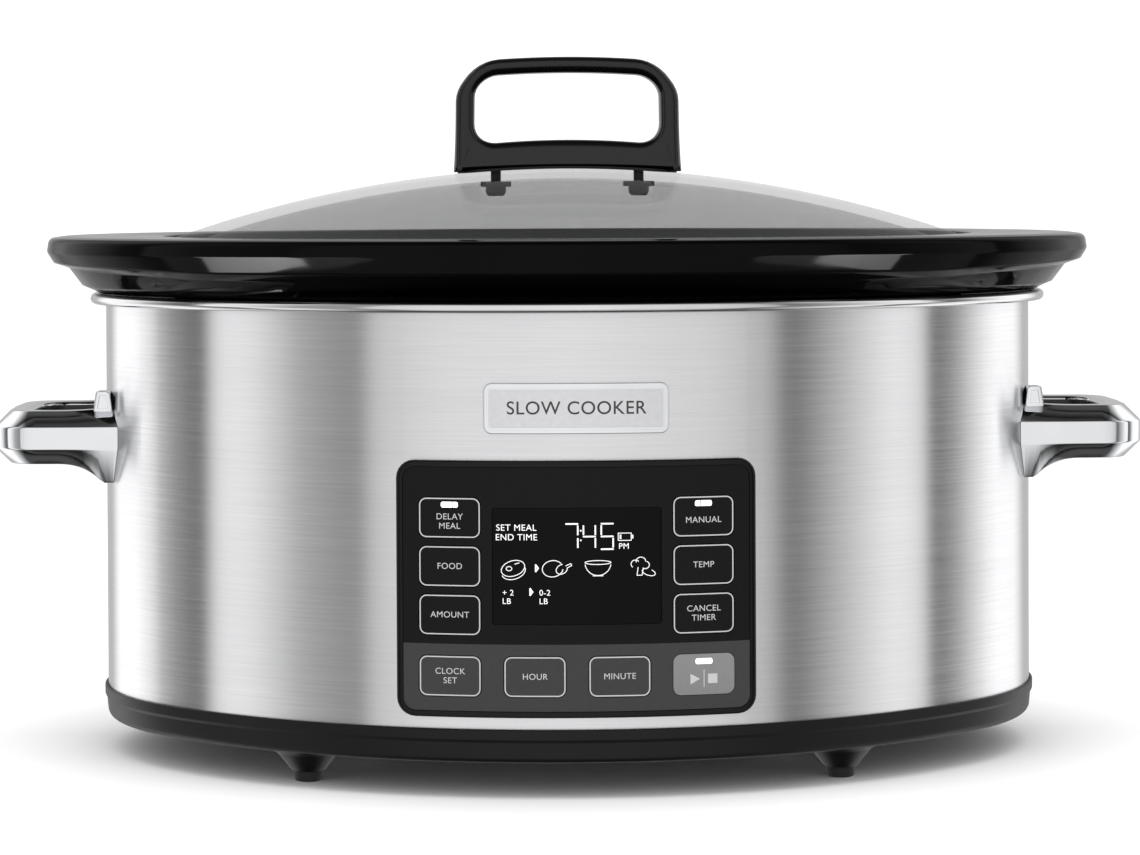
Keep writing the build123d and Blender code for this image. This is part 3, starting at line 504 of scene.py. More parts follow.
bm = bmesh.new()
arc_steps = 26
outer_arc = []
inner_arc = []
for step in range(arc_steps + 1):
    radius = (lid_half[0] - 1.2) * (1 - step / arc_steps)
    outer_arc.append((radius, dome_middle + sqrt(dome_radius**2 - radius**2)))
    radius = (lid_half[0] - 9.0) * (step / arc_steps)
    inner_arc.append((radius, dome_middle + sqrt((dome_radius - glass) ** 2 - radius**2)))
edge = rounded(
    [
        (lid_half[0] - 9.0, inner_arc[-1][1], 0),
        (lid_half[0] - 7.5, lid_under, 0.8),
        (lid_half[0], lid_under, 1.5),
        (lid_half[0], outer_arc[0][1], 0.9),
        (outer_arc[1][0], outer_arc[1][1], 0),
    ],
    6,
)
lathe(bm, inner_arc[:-1] + edge[:-1] + outer_arc[1:], (0, 0, 0), steps=128)
bmesh.ops.scale(bm, vec=(1, squash, 1), verts=bm.verts)
finish_piece(bm, "lid_dome", [lid_clear], "lid", ["lid_glass"])


# ---- Lid handle and its fixings ----
# A loop moulded in satin black phenolic, spreading at its foot to follow the dome. Two screws
# come up through the glass from square silicone washers; a thin silicone pad beds the foot.

foot_line = 221.5
pad = 1.0

# Compression-moulded phenolic: deep black, satin, slightly smoother than the pan
handle_black, tree, shader = new_material("moulded satin black phenolic", IOR=1.5, Specular_IOR_Level=0.4)
mottle(tree, shader, "#070708", "#0b0b0c", 60)
grain(tree, shader, 1800, (1, 1, 1), 0.000006, (0.15, 0.22))

# Moulded silicone: matt, almost black
silicone, tree, shader = new_material("moulded black silicone", IOR=1.42, Specular_IOR_Level=0.4)
mottle(tree, shader, "#141414", "#1d1d1d", 200)
grain(tree, shader, 2500, (1, 1, 1), 0.00002, (0.5, 0.62))


def draw_outline(bm, points, place):
    """Draws a closed outline, each (a, b) put in space by place, and returns its edges."""
    verts = [bm.verts.new(Vector(place(a, b)) * MM) for a, b in points]
    return [bm.edges.new(pair) for pair in zip(verts, verts[1:] + verts[:1])]


def rounded_box(width, height, corner, x=0.0, z=0.0, steps=6):
    """Points of a rounded rectangle about a middle."""
    w, h = width / 2, height / 2
    corners = ((x - w, z - h), (x + w, z - h), (x + w, z + h), (x - w, z + h))
    return rounded([(a, b, corner) for a, b in corners], steps)


def thicken(bm, faces, step):
    """Extrudes faces by a step in millimetres and returns the far faces."""
    made = bmesh.ops.extrude_face_region(bm, geom=faces)["geom"]
    moved = [g for g in made if isinstance(g, bmesh.types.BMVert)]
    bmesh.ops.translate(bm, verts=moved, vec=Vector(step) * MM)
    return [g for g in made if isinstance(g, bmesh.types.BMFace)]


def soften(bm, edges, radius, segments=3):
    """Bevels edges to a radius in millimetres."""
    bmesh.ops.bevel(
        bm, geom=edges, offset=radius * MM, offset_type="OFFSET", segments=segments, profile=0.5,
        affect="EDGES", material=-1, clamp_overlap=True,
    )


def sharp_edges(bm, degrees=50):
    return [e for e in bm.edges if len(e.link_faces) == 2 and e.calc_face_angle() > radians(degrees)]


bm = bmesh.new()
outer = rounded([(-43.9, foot_line, 0.6), (43.9, foot_line, 0.6), (43.3, 267.0, 17), (-43.3, 267.0, 17)], 10)
inner = rounded([(-36.4, 233.0, 8.5), (36.4, 233.0, 8.5), (36.0, 260.9, 9.0), (-36.0, 260.9, 9.0)], 8)
handle_half = 8.5
loops = draw_outline(bm, outer, lambda a, b: (a, -handle_half, b))
loops += draw_outline(bm, inner, lambda a, b: (a, -handle_half, b))
front = bmesh.ops.bridge_loops(bm, edges=loops)["faces"]
thicken(bm, front, (0, 2 * handle_half, 0))
bmesh.ops.recalc_face_normals(bm, faces=bm.faces)
soften(bm, [e for e in sharp_edges(bm, 60) if abs(e.calc_face_angle() - pi / 2) < 0.3
            and abs(e.verts[0].co.y - e.verts[1].co.y) < 1e-6], 3.1, 6)
for x in range(-40, 41, 4):
    cut_across(bm, (x, 0, 0), (1, 0, 0))
for z in range(224, 262, 3):
    cut_across(bm, (0, 0, z), (0, 0, 1))
for y in (-4, 0, 4):
    cut_across(bm, (0, y, 0), (0, 1, 0))
for v in bm.verts:
    x, y, z = v.co / MM
    flare = max(0.0, (243 - z) / (243 - foot_line)) ** 2
    arch = min(1.0, max(0.0, (z - 250) / 10))
    rail = max(0.0, 1 - abs(z - 233.5) / 6) * max(0.0, 1 - (x / 37) ** 2)
    at_foot = max(0.0, min(1.0, (226.5 - z) / 4.5))
    top = z - 2.4 * arch * (x / 44) ** 2 + 0.4 * arch + 2.2 * rail
    y *= 1 + 0.43 * flare
    seat = dome_height(x, y, pad) - 0.35 + (z - foot_line)
    v.co = Vector((x * (1 + 0.012 * flare), y, top * (1 - at_foot) + at_foot * seat)) * MM
finish_piece(bm, "lid_handle_loop", [handle_black], "lid", ["lid_handle"], sharp=60)

bm = bmesh.new()
outline = draw_outline(bm, rounded_box(86, 22, 10.5), lambda a, b: (a, b, 0))
pad_face = bmesh.ops.edgeloop_fill(bm, edges=outline)["faces"]
thicken(bm, pad_face, (0, 0, pad))
for x in range(-40, 41, 4):
    cut_across(bm, (x, 0, 0), (1, 0, 0))
for v in bm.verts:
    x, y, z = v.co / MM
    v.co.z = (dome_height(x, y) + z * 0.96 + 0.02) * MM
finish_piece(bm, "handle_pad", [silicone], "lid", ["lid_gasket"])

# Zinc-plated steel with black passivation: dark, slightly metallic
black_steel, tree, shader = new_material("black passivated steel", Metallic=0.9)
mottle(tree, shader, "#1c1c1d", "#2a2a2b", 300)
grain(tree, shader, 2000, (1, 1, 1), 0.00001, (0.3, 0.42))

washer_low, washer_high = (corner.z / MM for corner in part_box("lid_washers"))
bm = bmesh.new()
for x in (-28, 28):
    outline = draw_outline(bm, rounded_box(12, 12, 2, x, 0), lambda a, b: (a, b, washer_low))
    thicken(bm, bmesh.ops.edgeloop_fill(bm, edges=outline)["faces"], (0, 0, washer_high - washer_low + 0.5))
soften(bm, [e for e in sharp_edges(bm, 60) if abs(e.verts[0].co.z - e.verts[1].co.z) < 1e-6], 0.35, 2)
finish_piece(bm, "lid_screw_washers", [silicone], "lid", ["lid_washers"])

screw_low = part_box("lid_screws")[0].z / MM
bm = bmesh.new()
pan_head = rounded(
    [
        (0, screw_low + 1.2, 0), (1.3, screw_low + 1.2, 0), (1.6, screw_low, 0.1),
        (3.2, screw_low, 1.2), (4.0, screw_low + 1.6, 1.0), (4.0, washer_low, 0),
        (2.0, washer_low, 0), (2.0, washer_low + 9, 0), (0, washer_low + 10, 0),
    ]
)
for x in (-28, 28):
    lathe(bm, pan_head, (x, 0, 0), steps=24)
finish_piece(bm, "lid_screw_pair", [black_steel], "lid", ["lid_screws"])


# ---- Side handles ----
# Two loops cast in zinc alloy, polished and chrome plated, each with a bevelled grip and two
# roots that flare where they meet the wall. Screws inside the wall hold them.

grip_tip = 222.0
grip_low, grip_high = 111.5, 132.0
grip_middle = (grip_low + grip_high) / 2
root_x = 172.0

# Bright chromium over nickel: a full mirror, very slightly soft at the edges of the polish
chrome, tree, shader = new_material("bright chromium plating", Metallic=1.0)
mottle(tree, shader, "#e0e1e3", "#ebecee", 60)
grain(tree, shader, 90, (1, 1, 1), 0.000006, (0.05, 0.09), detail=1.0)


def wall_x(y, out=0.1):
    """Where the wall's end arc stands at a distance from the middle plane."""
    return WALL[0] - WALL[2] + sqrt((WALL[2] + out) ** 2 - y**2)


bm = bmesh.new()
outer = rounded([
    (root_x, -38, 0), (grip_tip - 1.5, -36.5, 17), (grip_tip, 0, 60), (grip_tip - 1.5, 36.5, 17), (root_x, 38, 0),
], 9)
inner = rounded([
    (root_x, -24.5, 0), (208.0, -24.0, 10), (208.5, 0, 60), (208.0, 24.0, 10), (root_x, 24.5, 0),
], 9)
verts = [[bm.verts.new(Vector((x, y, grip_low)) * MM) for x, y in line] for line in (outer, inner)]
for line in verts:
    for pair in zip(line, line[1:]):
        bm.edges.new(pair)
bottom = bmesh.ops.bridge_loops(bm, edges=bm.edges[:])["faces"]
thicken(bm, bottom, (0, 0, grip_high - grip_low))
bmesh.ops.recalc_face_normals(bm, faces=bm.faces)


def level_rim(e, outside):
    """Tells an edge of the loop's top or bottom rim, on its outer or inner side."""
    a, b = (v.co / MM for v in e.verts)
    if abs(a.z - b.z) > 0.01 or min(a.x, b.x) < root_x + 0.01 and abs(a.x - b.x) < 0.01:
        return False
    far_out = all(abs(p.y) > 30 or p.x > 212 for p in (a, b))
    return far_out == outside


soften(bm, [e for e in sharp_edges(bm, 60) if level_rim(e, True)], 6.2, 1)
soften(bm, [e for e in sharp_edges(bm, 60) if level_rim(e, False)], 2.4, 4)
past_root = root_x * MM + 1e-5
soften(bm, [e for e in sharp_edges(bm, 30) if max(v.co.x for v in e.verts) > past_root], 0.5, 2)
bm.normal_update()
# Faces inside each loop, facing the opening, take the black phenolic finish. This is painted shade and painted dark
# reflection: the real loop is chrome there too.
for f in bm.faces:
    middle = f.calc_center_median() / MM
    inner_face_painted_dark = (middle - Vector((186, 0, middle.z))).dot(f.normal) < 0 and abs(f.normal.z) < 0.5
    if middle.x < 210 and abs(middle.y) < 26 and inner_face_painted_dark:
        f.material_index = 1
for x in range(174, 206, 2):
    cut_across(bm, (x, 0, 0), (1, 0, 0))
for v in bm.verts:
    x, y, z = v.co / MM
    at_root = x < root_x + 0.01
    near = min(1.0, max(0.0, (196 - x) / (196 - 178.5)))
    below = min(1.0, max(0.0, (grip_middle - 4.2 - z) / 6))
    above = min(1.0, max(0.0, (z - grip_middle - 4.2) / 6))
    v.co.z = (z - 7.2 * near**2.4 * below + 0.8 * near**2 * above) * MM
    v.co.x = (wall_x(y) if at_root else max(x, wall_x(y) + 0.05)) * MM
for y in (-30.5, 30.5):
    old = set(bm.verts)
    cube = bmesh.ops.create_cube(bm, size=1.0)["verts"]
    bmesh.ops.scale(bm, verts=cube, vec=Vector((7.5, 9.0, 8.0)) * MM)
    for v in cube:
        if v.co.z > 0:
            v.co.x *= 0.72
            v.co.y *= 0.8
    move_new(bm, old, (wall_x(y) + 3.1, y, 135.6))
    soften(bm, list({e for v in made_since(bm, old) for e in v.link_edges}), 0.9, 2)
    shield = max(
        {f for v in made_since(bm, old) for f in v.link_faces}, key=lambda f: -f.normal.y * f.calc_area()
    )
    bmesh.ops.inset_individual(bm, faces=[shield], thickness=0.9 * MM, depth=0)
    bmesh.ops.inset_individual(bm, faces=[shield], thickness=0.3 * MM, depth=-0.6 * MM)
grip_mesh = bm.copy()
# The second finish, handle_black, is the painted shade on the loops' inner faces.
finish_piece(
    bm, "grip_right", [chrome, handle_black], "base", ["side_handle_right"], sharp=24
)
bmesh.ops.scale(grip_mesh, verts=grip_mesh.verts, vec=(-1, 1, 1))
finish_piece(
    grip_mesh, "grip_left", [chrome, handle_black], "base", ["side_handle_left"], sharp=24
)


# ---- Nameplate ----
# A small plate stamped from stainless steel with a raised border, curved to the wall and held
# by adhesive. Its field carries only plain words.

PLATE = (65.9, 18.0, 138.7)

# Field of the plate: fine bead-blasted satin with a soft sheen
satin_steel, tree, shader = new_material("bead-blasted stainless steel", Metallic=1.0)
mottle(tree, shader, "#d6d6d8", "#e4e4e6", 500)
grain(tree, shader, 3500, (1, 1, 1), 0.00001, (0.36, 0.46))

# Fired enamel in the stamped letters: dull dark grey
dark_enamel, tree, shader = new_material("dark filled enamel", IOR=1.5)
mottle(tree, shader, "#2a2a2b", "#343435", 700)
grain(tree, shader, 3000, (1, 1, 1), 0.000005, (0.35, 0.45))

_, side_y, side_radius, _ = oval_centres(WALL)


def bend_to_front(bm, pitch=4):
    """Lays a plate drawn flat, its depth as distance out from the wall, on the front arc."""
    reach = int(max(abs(v.co.x) for v in bm.verts) / MM)
    for x in range(-reach, reach + 1, pitch):
        cut_across(bm, (x, 0, 0), (1, 0, 0))
    for v in bm.verts:
        out = -v.co.y / MM
        v.co.y = (side_y - sqrt((side_radius + out) ** 2 - (v.co.x / MM) ** 2)) * MM


def flat_plate(bm, width, height, corner, x, z, low, high):
    """A rounded plate drawn flat between two distances out; returns its outer face."""
    outline = draw_outline(bm, rounded_box(width, height, corner, x, z), lambda a, b: (a, -low, b))
    return thicken(bm, bmesh.ops.edgeloop_fill(bm, edges=outline)["faces"], (0, low - high, 0))


def sink(bm, faces, border, depth):
    """Insets faces by a border, pushes them back by a depth and returns them."""
    bmesh.ops.inset_region(bm, faces=faces, thickness=border * MM, use_even_offset=True)
    walls = bmesh.ops.inset_region(bm, faces=faces, thickness=0.08 * MM, use_even_offset=True)
    bmesh.ops.translate(bm, verts=list({v for f in faces for v in f.verts}), vec=(0, depth * MM, 0))
    return walls["faces"]


def lettering(bm, words, size, x, z, out, index, bold=0.0):
    """Adds words as thin raised print, centred on a point of the flat plate."""
    curve = bpy.data.curves.new("words", "FONT")
    curve.body = words
    curve.size = size
    curve.align_x = "CENTER"
    curve.align_y = "CENTER"
    curve.extrude = 0.01
    curve.offset = bold
    curve.space_character = 1.06
    holder = bpy.data.objects.new("words", curve)
    bpy.context.scene.collection.objects.link(holder)
    bpy.context.view_layer.update()
    mesh = bpy.data.meshes.new_from_object(holder.evaluated_get(bpy.context.evaluated_depsgraph_get()))
    bpy.data.objects.remove(holder)
    old = set(bm.verts)
    bm.from_mesh(mesh)
    for v in made_since(bm, old):
        v.co = Vector((v.co.x + x, -out - v.co.z, v.co.y + z)) * MM
        for f in v.link_faces:
            f.material_index = index
    bpy.data.meshes.remove(mesh)


bm = bmesh.new()
top = flat_plate(bm, PLATE[0], PLATE[1], 3.0, 0, PLATE[2], 0.1, 1.8)
soften(bm, [e for e in top[0].edges], 0.5, 3)
top = [max(bm.faces, key=lambda f: f.calc_area() * -f.normal.y)]
sink(bm, top, 0.8, 0.35)
sink(bm, top, 0.5, -0.2)
sink(bm, top, 0.35, 0.25)
for f in top:
    f.material_index = 1
lettering(bm, "SLOW COOKER", 6.6, 0, PLATE[2], 1.41, 2, bold=0.04)
bend_to_front(bm)
finish_piece(
    bm, "name_plate", [chrome, satin_steel, dark_enamel], "base", ["nameplate"], recalc=False
)


# ---- Control panel ----
# A gloss black ABS frame clipped into the wall's opening. A printed polycarbonate sheet lies in
# it, with ten flexible key patches and a dark window over the display.

# High-gloss tool finish: black, near mirror
gloss_black, tree, shader = new_material("high-gloss black ABS", IOR=1.52, Specular_IOR_Level=0.2)
mottle(tree, shader, "#050505", "#080808", 30)
grain(tree, shader, 70, (1, 1, 1), 0.00001, (0.06, 0.1), detail=1.0)

STRIP_TOP = 55.3


def printed_sheet(name, upper, lower):
    """A textured polycarbonate sheet printed in one tone above the strip and another below."""
    material, tree, shader = new_material(name, IOR=1.5, Specular_IOR_Level=0.12)
    place = add_node(tree, "TexCoord")
    split = add_node(tree, "SeparateXYZ", Vector=place.outputs["Object"])
    above = add_node(tree, "Math", {"operation": "GREATER_THAN", "1": STRIP_TOP * MM}, _0=split.outputs["Z"])
    noise = add_node(tree, "TexNoise", {"Scale": 900, "Detail": 2.0}, Vector=place.outputs["Object"])
    tones = [
        add_node(tree, "Mix", {"data_type": "RGBA", "6": linear(dark), "7": linear(light)}, _0=noise.outputs["Fac"])
        for dark, light in (lower, upper)
    ]
    mix = add_node(
        tree, "Mix", {"data_type": "RGBA"}, _0=above.outputs[0], _6=tones[0].outputs[2], _7=tones[1].outputs[2]
    )
    tree.links.new(mix.outputs[2], shader.inputs["Base Color"])
    grain(tree, shader, 3200, (1, 1, 1), 0.000008, (0.42, 0.52))
    return material


panel_sheet = printed_sheet("printed satin polycarbonate", ("#0e0e0e", "#121212"), ("#383838", "#3e3e3e"))

# Screen-printed pale grey ink, slightly raised
pale_ink, tree, shader = new_material("pale grey screen ink", IOR=1.5)
mottle(tree, shader, "#b4b4b4", "#c2c2c2", 900)
grain(tree, shader, 2500, (1, 1, 1), 0.000004, (0.45, 0.55))

bm = bmesh.new()
top = flat_plate(bm, panel_width, panel_height, 6.5, 0, panel_middle, 0.05, 2.0)
soften(bm, [e for e in top[0].edges], 0.9, 4)
top = [max(bm.faces, key=lambda f: f.calc_area() * -f.normal.y)]
sink(bm, top, 1.3, 1.2)
flat_plate(bm, panel_width - 6.0, panel_height - 6.0, 3.2, 0, panel_middle, -2.8, 0.04)
bmesh.ops.recalc_face_normals(bm, faces=bm.faces)
bend_to_front(bm)
finish_piece(bm, "panel_frame", [gloss_black], "base", ["panel_bezel"], recalc=False)

KEYS = {
    "key_schedule": (-45.0, 100.0, "DELAY\nMEAL"),
    "key_food": (-45.0, 82.8, "FOOD"),
    "key_amount": (-45.0, 65.6, "AMOUNT"),
    "key_manual": (45.0, 100.0, "MANUAL"),
    "key_temp": (45.0, 82.8, "TEMP"),
    "key_cancel": (45.0, 65.6, "CANCEL\nTIMER"),
    "key_clock": (-45.0, 43.9, "CLOCK\nSET"),
    "key_hour": (-15.0, 43.9, "HOUR"),
    "key_minute": (15.0, 43.9, "MINUTE"),
    "key_start_stop": (45.0, 43.9, ""),
}
LIT = ("key_schedule", "key_manual", "key_start_stop")
WINDOW = (59.8, 41.2, 83.0)

bm = bmesh.new()
outlines = draw_outline(
    bm, rounded_box(123.2, 86.3, 4.2, 0, panel_middle), lambda a, b: (a, -1.8, b)
)
for x, z, _ in KEYS.values():
    outlines += draw_outline(bm, rounded_box(22.4, 14.9, 3.0, x, z), lambda a, b: (a, -1.8, b))
outlines += draw_outline(bm, rounded_box(60.0, 41.4, 1.0, 0, WINDOW[2]), lambda a, b: (a, -1.8, b))
bmesh.ops.triangle_fill(bm, edges=outlines, use_beauty=True, use_dissolve=False)
thicken(bm, bm.faces[:], (0, 1.0, 0))
bmesh.ops.recalc_face_normals(bm, faces=bm.faces)
bend_to_front(bm)
finish_piece(bm, "panel_sheet", [panel_sheet], "base", ["panel_overlay"], recalc=False)

# Each key patch is cut from the same printed sheet over a metal dome, with its outline printed
start_grey = printed_sheet("grey printed polycarbonate", ("#6e6e6e", "#747474"), ("#7c7c7c", "#828282"))
stem_end = -122.3
for name, (x, z, words) in KEYS.items():
    bm = bmesh.new()
    top = flat_plate(bm, 22.0, 14.5, 2.8, x, z, 1.2, 1.9)
    soften(bm, [e for e in top[0].edges], 0.12, 2)
    top = [max(bm.faces, key=lambda f: f.calc_area() * -f.normal.y)]
    if words:
        bmesh.ops.inset_region(bm, faces=top, thickness=0.12 * MM, use_even_offset=True)
        ring = bmesh.ops.inset_region(bm, faces=top, thickness=0.42 * MM, use_even_offset=True)["faces"]
        for f in ring:
            f.material_index = 1
        lines = words.split("\n")
        drop = 1.3 if name in LIT else 0.0
        for i, line in enumerate(lines):
            up = (len(lines) - 1) / 2 * 3.3 - i * 3.3 - drop
            lettering(bm, line, 3.05, x, z + up, 1.915, 1)
    else:
        for outline in (
            [(x - 4.9, z - 3.5), (x - 1.4, z - 1.6), (x - 4.9, z + 0.3)],
            [(x - 0.15, z - 4.6), (x + 0.15, z - 4.6), (x + 0.15, z + 1.6), (x - 0.15, z + 1.6)],
            [(x + 1.4, z - 3.3), (x + 4.8, z - 3.3), (x + 4.8, z + 0.1), (x + 1.4, z + 0.1)],
        ):
            edges = draw_outline(bm, outline, lambda a, b: (a, -1.93, b))
            marks = bmesh.ops.edgeloop_fill(bm, edges=edges)["faces"]
            for f in marks + thicken(bm, marks, (0, 0.02, 0)):
                f.material_index = 1
    bend_to_front(bm)
    depth = stem_end - (side_y - sqrt((side_radius + 1.25) ** 2 - x**2))
    inwards = Matrix.Rotation(radians(-90), 4, "X")
    lathe(bm, [(0, 0), (1.5, 0), (1.5, depth), (0, depth)], (x, stem_end - depth, z), 16, inwards)
    patch = panel_sheet if words else start_grey
    finish_piece(bm, name + "_patch", [patch, pale_ink], name + "_body", [name], recalc=False)

# Tinted acrylic window: looks black, with a clear gloss
window_black, tree, shader = new_material("dark tinted acrylic", IOR=1.49, Specular_IOR_Level=0.1)
mottle(tree, shader, "#020202", "#040404", 30)
grain(tree, shader, 60, (1, 1, 1), 0.000005, (0.08, 0.12), detail=1.0)

bm = bmesh.new()
top = flat_plate(bm, WINDOW[0], WINDOW[1], 0.8, 0, WINDOW[2], 0.8, 1.72)
soften(bm, [e for e in top[0].edges], 0.15, 2)
bend_to_front(bm)
finish_piece(bm, "window_pane", [window_black], "base", ["display_window"], recalc=False)

# Lit display segments and symbols, as the liquid crystal shows them through the window
lit_white, tree, shader = new_material("lit display segments", Emission_Strength=0.85)
mottle(tree, shader, "#c4c4c4", "#d2d2d2", 900)
glow = add_node(tree, "TexCoord")
glow_noise = add_node(tree, "TexNoise", {"Scale": 700}, Vector=glow.outputs["Object"])
glow_mix = add_node(
    tree, "Mix", {"data_type": "RGBA", "6": linear("#c8c8c8"), "7": linear("#dedede")}, _0=glow_noise.outputs["Fac"]
)
tree.links.new(glow_mix.outputs[2], shader.inputs["Emission Color"])


def stroke(bm, points, width, closed=False):
    """Draws a line of lit segments through points (x, z) on the window."""
    pairs = zip(points, points[1:] + points[:1] if closed else points[1:])
    for (ax, az), (bx, bz) in pairs:
        length = hypot(bx - ax, bz - az)
        old = set(bm.verts)
        cube = bmesh.ops.create_cube(bm, size=1.0)["verts"]
        bmesh.ops.scale(bm, verts=cube, vec=Vector((length + width * 0.6, 0.02, width)) * MM)
        along = Matrix.Rotation(-atan2(bz - az, bx - ax), 3, "Y")
        bmesh.ops.rotate(bm, verts=cube, cent=(0, 0, 0), matrix=along)
        move_new(bm, old, ((ax + bx) / 2, -1.745, (az + bz) / 2))


def ring(x, z, wide, high, start=0, end=360, turn=0, steps=18):
    """Points of part of an ellipse, in degrees, turned about its middle."""
    angles = [radians(start + (end - start) * k / steps) for k in range(steps + 1)]
    c, s = cos(radians(turn)), sin(radians(turn))
    return [
        (x + wide * cos(a) * c - high * sin(a) * s, z + wide * cos(a) * s + high * sin(a) * c) for a in angles
    ]


SEGMENTS = {
    "4": ("fl", "gm", "fr", "br"),
    "5": ("gt", "fl", "gm", "br", "gb"),
    "7": ("gt", "fr", "br"),
}
bm = bmesh.new()
digit_w, digit_h, line_w = 4.2, 9.0, 0.6
digit_top = 98.0
for digit, x in (("7", -3.9), ("4", 2.3), ("5", 8.6)):
    mid, low = digit_top - digit_h / 2, digit_top - digit_h
    spans = {
        "gt": ((x, digit_top), (x + digit_w, digit_top)),
        "gm": ((x, mid), (x + digit_w, mid)),
        "gb": ((x, low), (x + digit_w, low)),
        "fl": ((x, digit_top - 0.7), (x, mid + 0.7)),
        "fr": ((x + digit_w, digit_top - 0.7), (x + digit_w, mid + 0.7)),
        "br": ((x + digit_w, mid - 0.7), (x + digit_w, low + 0.7)),
    }
    for part in SEGMENTS[digit]:
        stroke(bm, list(spans[part]), line_w * 0.9)
for z in (95.6, 92.2):
    stroke(bm, [(1.25, z), (1.45, z)], 0.55)
lettering(bm, "SET MEAL", 3.2, -21.4, 96.6, 1.75, 0)
lettering(bm, "END TIME", 3.2, -21.4, 93.2, 1.75, 0)
lettering(bm, "PM", 2.9, 16.6, 89.9, 1.75, 0)
lettering(bm, "+ 2", 2.9, -24.4, 73.6, 1.75, 0)
lettering(bm, "LB", 2.9, -24.9, 70.6, 1.75, 0)
lettering(bm, "0-2", 2.9, -11.4, 73.6, 1.75, 0)
lettering(bm, "LB", 2.9, -11.9, 70.6, 1.75, 0)
thin = 0.26
stroke(bm, [(14.6, 92.0), (19.2, 92.0), (19.2, 94.6), (14.6, 94.6)], thin, True)
stroke(bm, [(19.7, 92.8), (19.7, 93.8)], 0.5)
stroke(bm, [(15.4, 92.7), (15.4, 93.9)], 0.6)
for x, z in ((-14.6, 82.4), (-16.6, 74.0)):
    stroke(bm, [(x, z + 1.2), (x + 0.9, z), (x, z - 1.2)], 0.5, True)
# Cut of meat, bird, bowl, vegetables: plain outlines
stroke(bm, ring(-22.6, 82.3, 4.3, 2.7, turn=18), thin)
stroke(bm, ring(-22.4, 81.2, 4.3, 2.7, 185, 360, turn=18), thin)
stroke(bm, ring(-24.0, 82.2, 1.0, 0.75), thin)
stroke(bm, [(-22.0, 83.8), (-20.4, 84.3)], thin)
stroke(bm, ring(-8.6, 82.2, 3.7, 2.9, 30, 345, turn=8), thin)
stroke(bm, ring(-5.4, 82.0, 2.1, 1.6, 60, 330, turn=30), thin)
stroke(bm, [(-4.0, 83.2), (-2.2, 84.0), (-1.9, 83.3), (-3.6, 82.4)], thin)
stroke(bm, ring(7.4, 84.3, 4.6, 0.7), thin)
stroke(bm, ring(7.4, 84.3, 4.6, 4.6, 190, 350), thin)
stroke(bm, [(5.6, 79.6), (9.2, 79.6)], thin)
stroke(bm, ring(20.6, 83.6, 1.5, 1.4, 40, 230), thin)
stroke(bm, ring(22.6, 84.5, 1.7, 1.5, 0, 190), thin)
stroke(bm, ring(24.2, 83.2, 1.4, 1.3, -110, 70), thin)
stroke(bm, [(21.6, 82.4), (21.2, 79.6), (23.0, 79.6), (23.4, 82.2)], thin)
stroke(bm, ring(25.4, 80.6, 2.4, 1.1, 150, 430, turn=-18), thin)
bend_to_front(bm)
finish_piece(bm, "display_symbols", [lit_white], "base", (), recalc=False)


# ---- Lamps, boards and what the base holds ----
# The indicator light pipes show in three keys. Everything else here is hidden by the wall and
# seen only with the pot out or from below: circuit boards, the heater band and its blanket,
# the shield, the sensor, posts and screws, each in the finish such parts have.

lamp_white, tree, shader = new_material("frosted polycarbonate light pipe, lit", Emission_Strength=1.3)
mottle(tree, shader, "#f2f2f2", "#ffffff", 900)
glow = add_node(tree, "TexCoord")
glow_noise = add_node(tree, "TexNoise", {"Scale": 500}, Vector=glow.outputs["Object"])
glow_mix = add_node(
    tree, "Mix", {"data_type": "RGBA", "6": linear("#f4f4f4"), "7": linear("#ffffff")}, _0=glow_noise.outputs["Fac"]
)
tree.links.new(glow_mix.outputs[2], shader.inputs["Emission Color"])


def plain_finish(name, dark, light, scale, roughness, stretch=(1, 1, 1), **settings):
    """A finish that is one colour, varied a little, with a fine grain."""
    material, tree, shader = new_material(name, **settings)
    mottle(tree, shader, dark, light, scale / 8)
    grain(tree, shader, scale, stretch, 0.00002, roughness)
    return material


# Solder mask on glass-fibre board, moulded housings, tape, plated and milled metal, mica, glass fibre
board_green = plain_finish("green solder mask", "#0e4a24", "#14602f", 600, (0.25, 0.4))
housing_black = plain_finish("glass-filled nylon housing", "#141414", "#1f1f1f", 1500, (0.45, 0.6))
tape_yellow = plain_finish("polyester winding tape", "#b58a22", "#cda133", 500, (0.3, 0.45))
terminal_green = plain_finish("green polyamide terminal", "#0f5a2a", "#176b34", 900, (0.35, 0.5))
zinc_steel = plain_finish("bright zinc plated steel", "#a9abae", "#c3c5c8", 700, (0.22, 0.38), Metallic=1.0)
mill_aluminium = plain_finish(
    "mill finish aluminium sheet", "#c0c2c4", "#d3d5d7", 6, (0.25, 0.4), (4, 90, 4), Metallic=1.0
)
mica = plain_finish("mica and glass-fibre sleeve", "#7b6844", "#94804f", 300, (0.5, 0.65))
glass_wool = plain_finish("needled glass-fibre blanket", "#cfcab9", "#ddd9ca", 400, (0.85, 0.95))
ribbon_grey = plain_finish("grey PVC ribbon", "#8b8c90", "#9c9da1", 1, (0.4, 0.5), (800, 5, 5))
white_diffuser = plain_finish("white diffuser moulding", "#dcdcd8", "#e8e8e4", 900, (0.4, 0.5))
FINISHES = {
    lamp_white: ["indicator_lenses", "indicator_leds"],
    board_green: ["control_board", "power_board"],
    housing_black: ["key_switches", "relay", "ribbon_headers", "handle_washers", "gland_nut"],
    tape_yellow: ["transformer", "capacitor"],
    terminal_green: ["terminal_block"],
    zinc_steel: [
        "well_posts", "base_screws", "handle_screws", "board_screws", "temperature_sensor",
        "band_clamps", "clamp_screw", "thermal_fuse", "fuse_clip",
    ],
    mill_aluminium: ["heat_shield"],
    mica: ["heater_band"],
    glass_wool: ["band_insulation"],
    ribbon_grey: ["ribbon_cable"],
    white_diffuser: ["display_backlight"],
    window_black: ["display_glass"],
}
for material, names in FINISHES.items():
    for name in names:
        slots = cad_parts[name].data.materials
        slots.clear()
        slots.append(material)


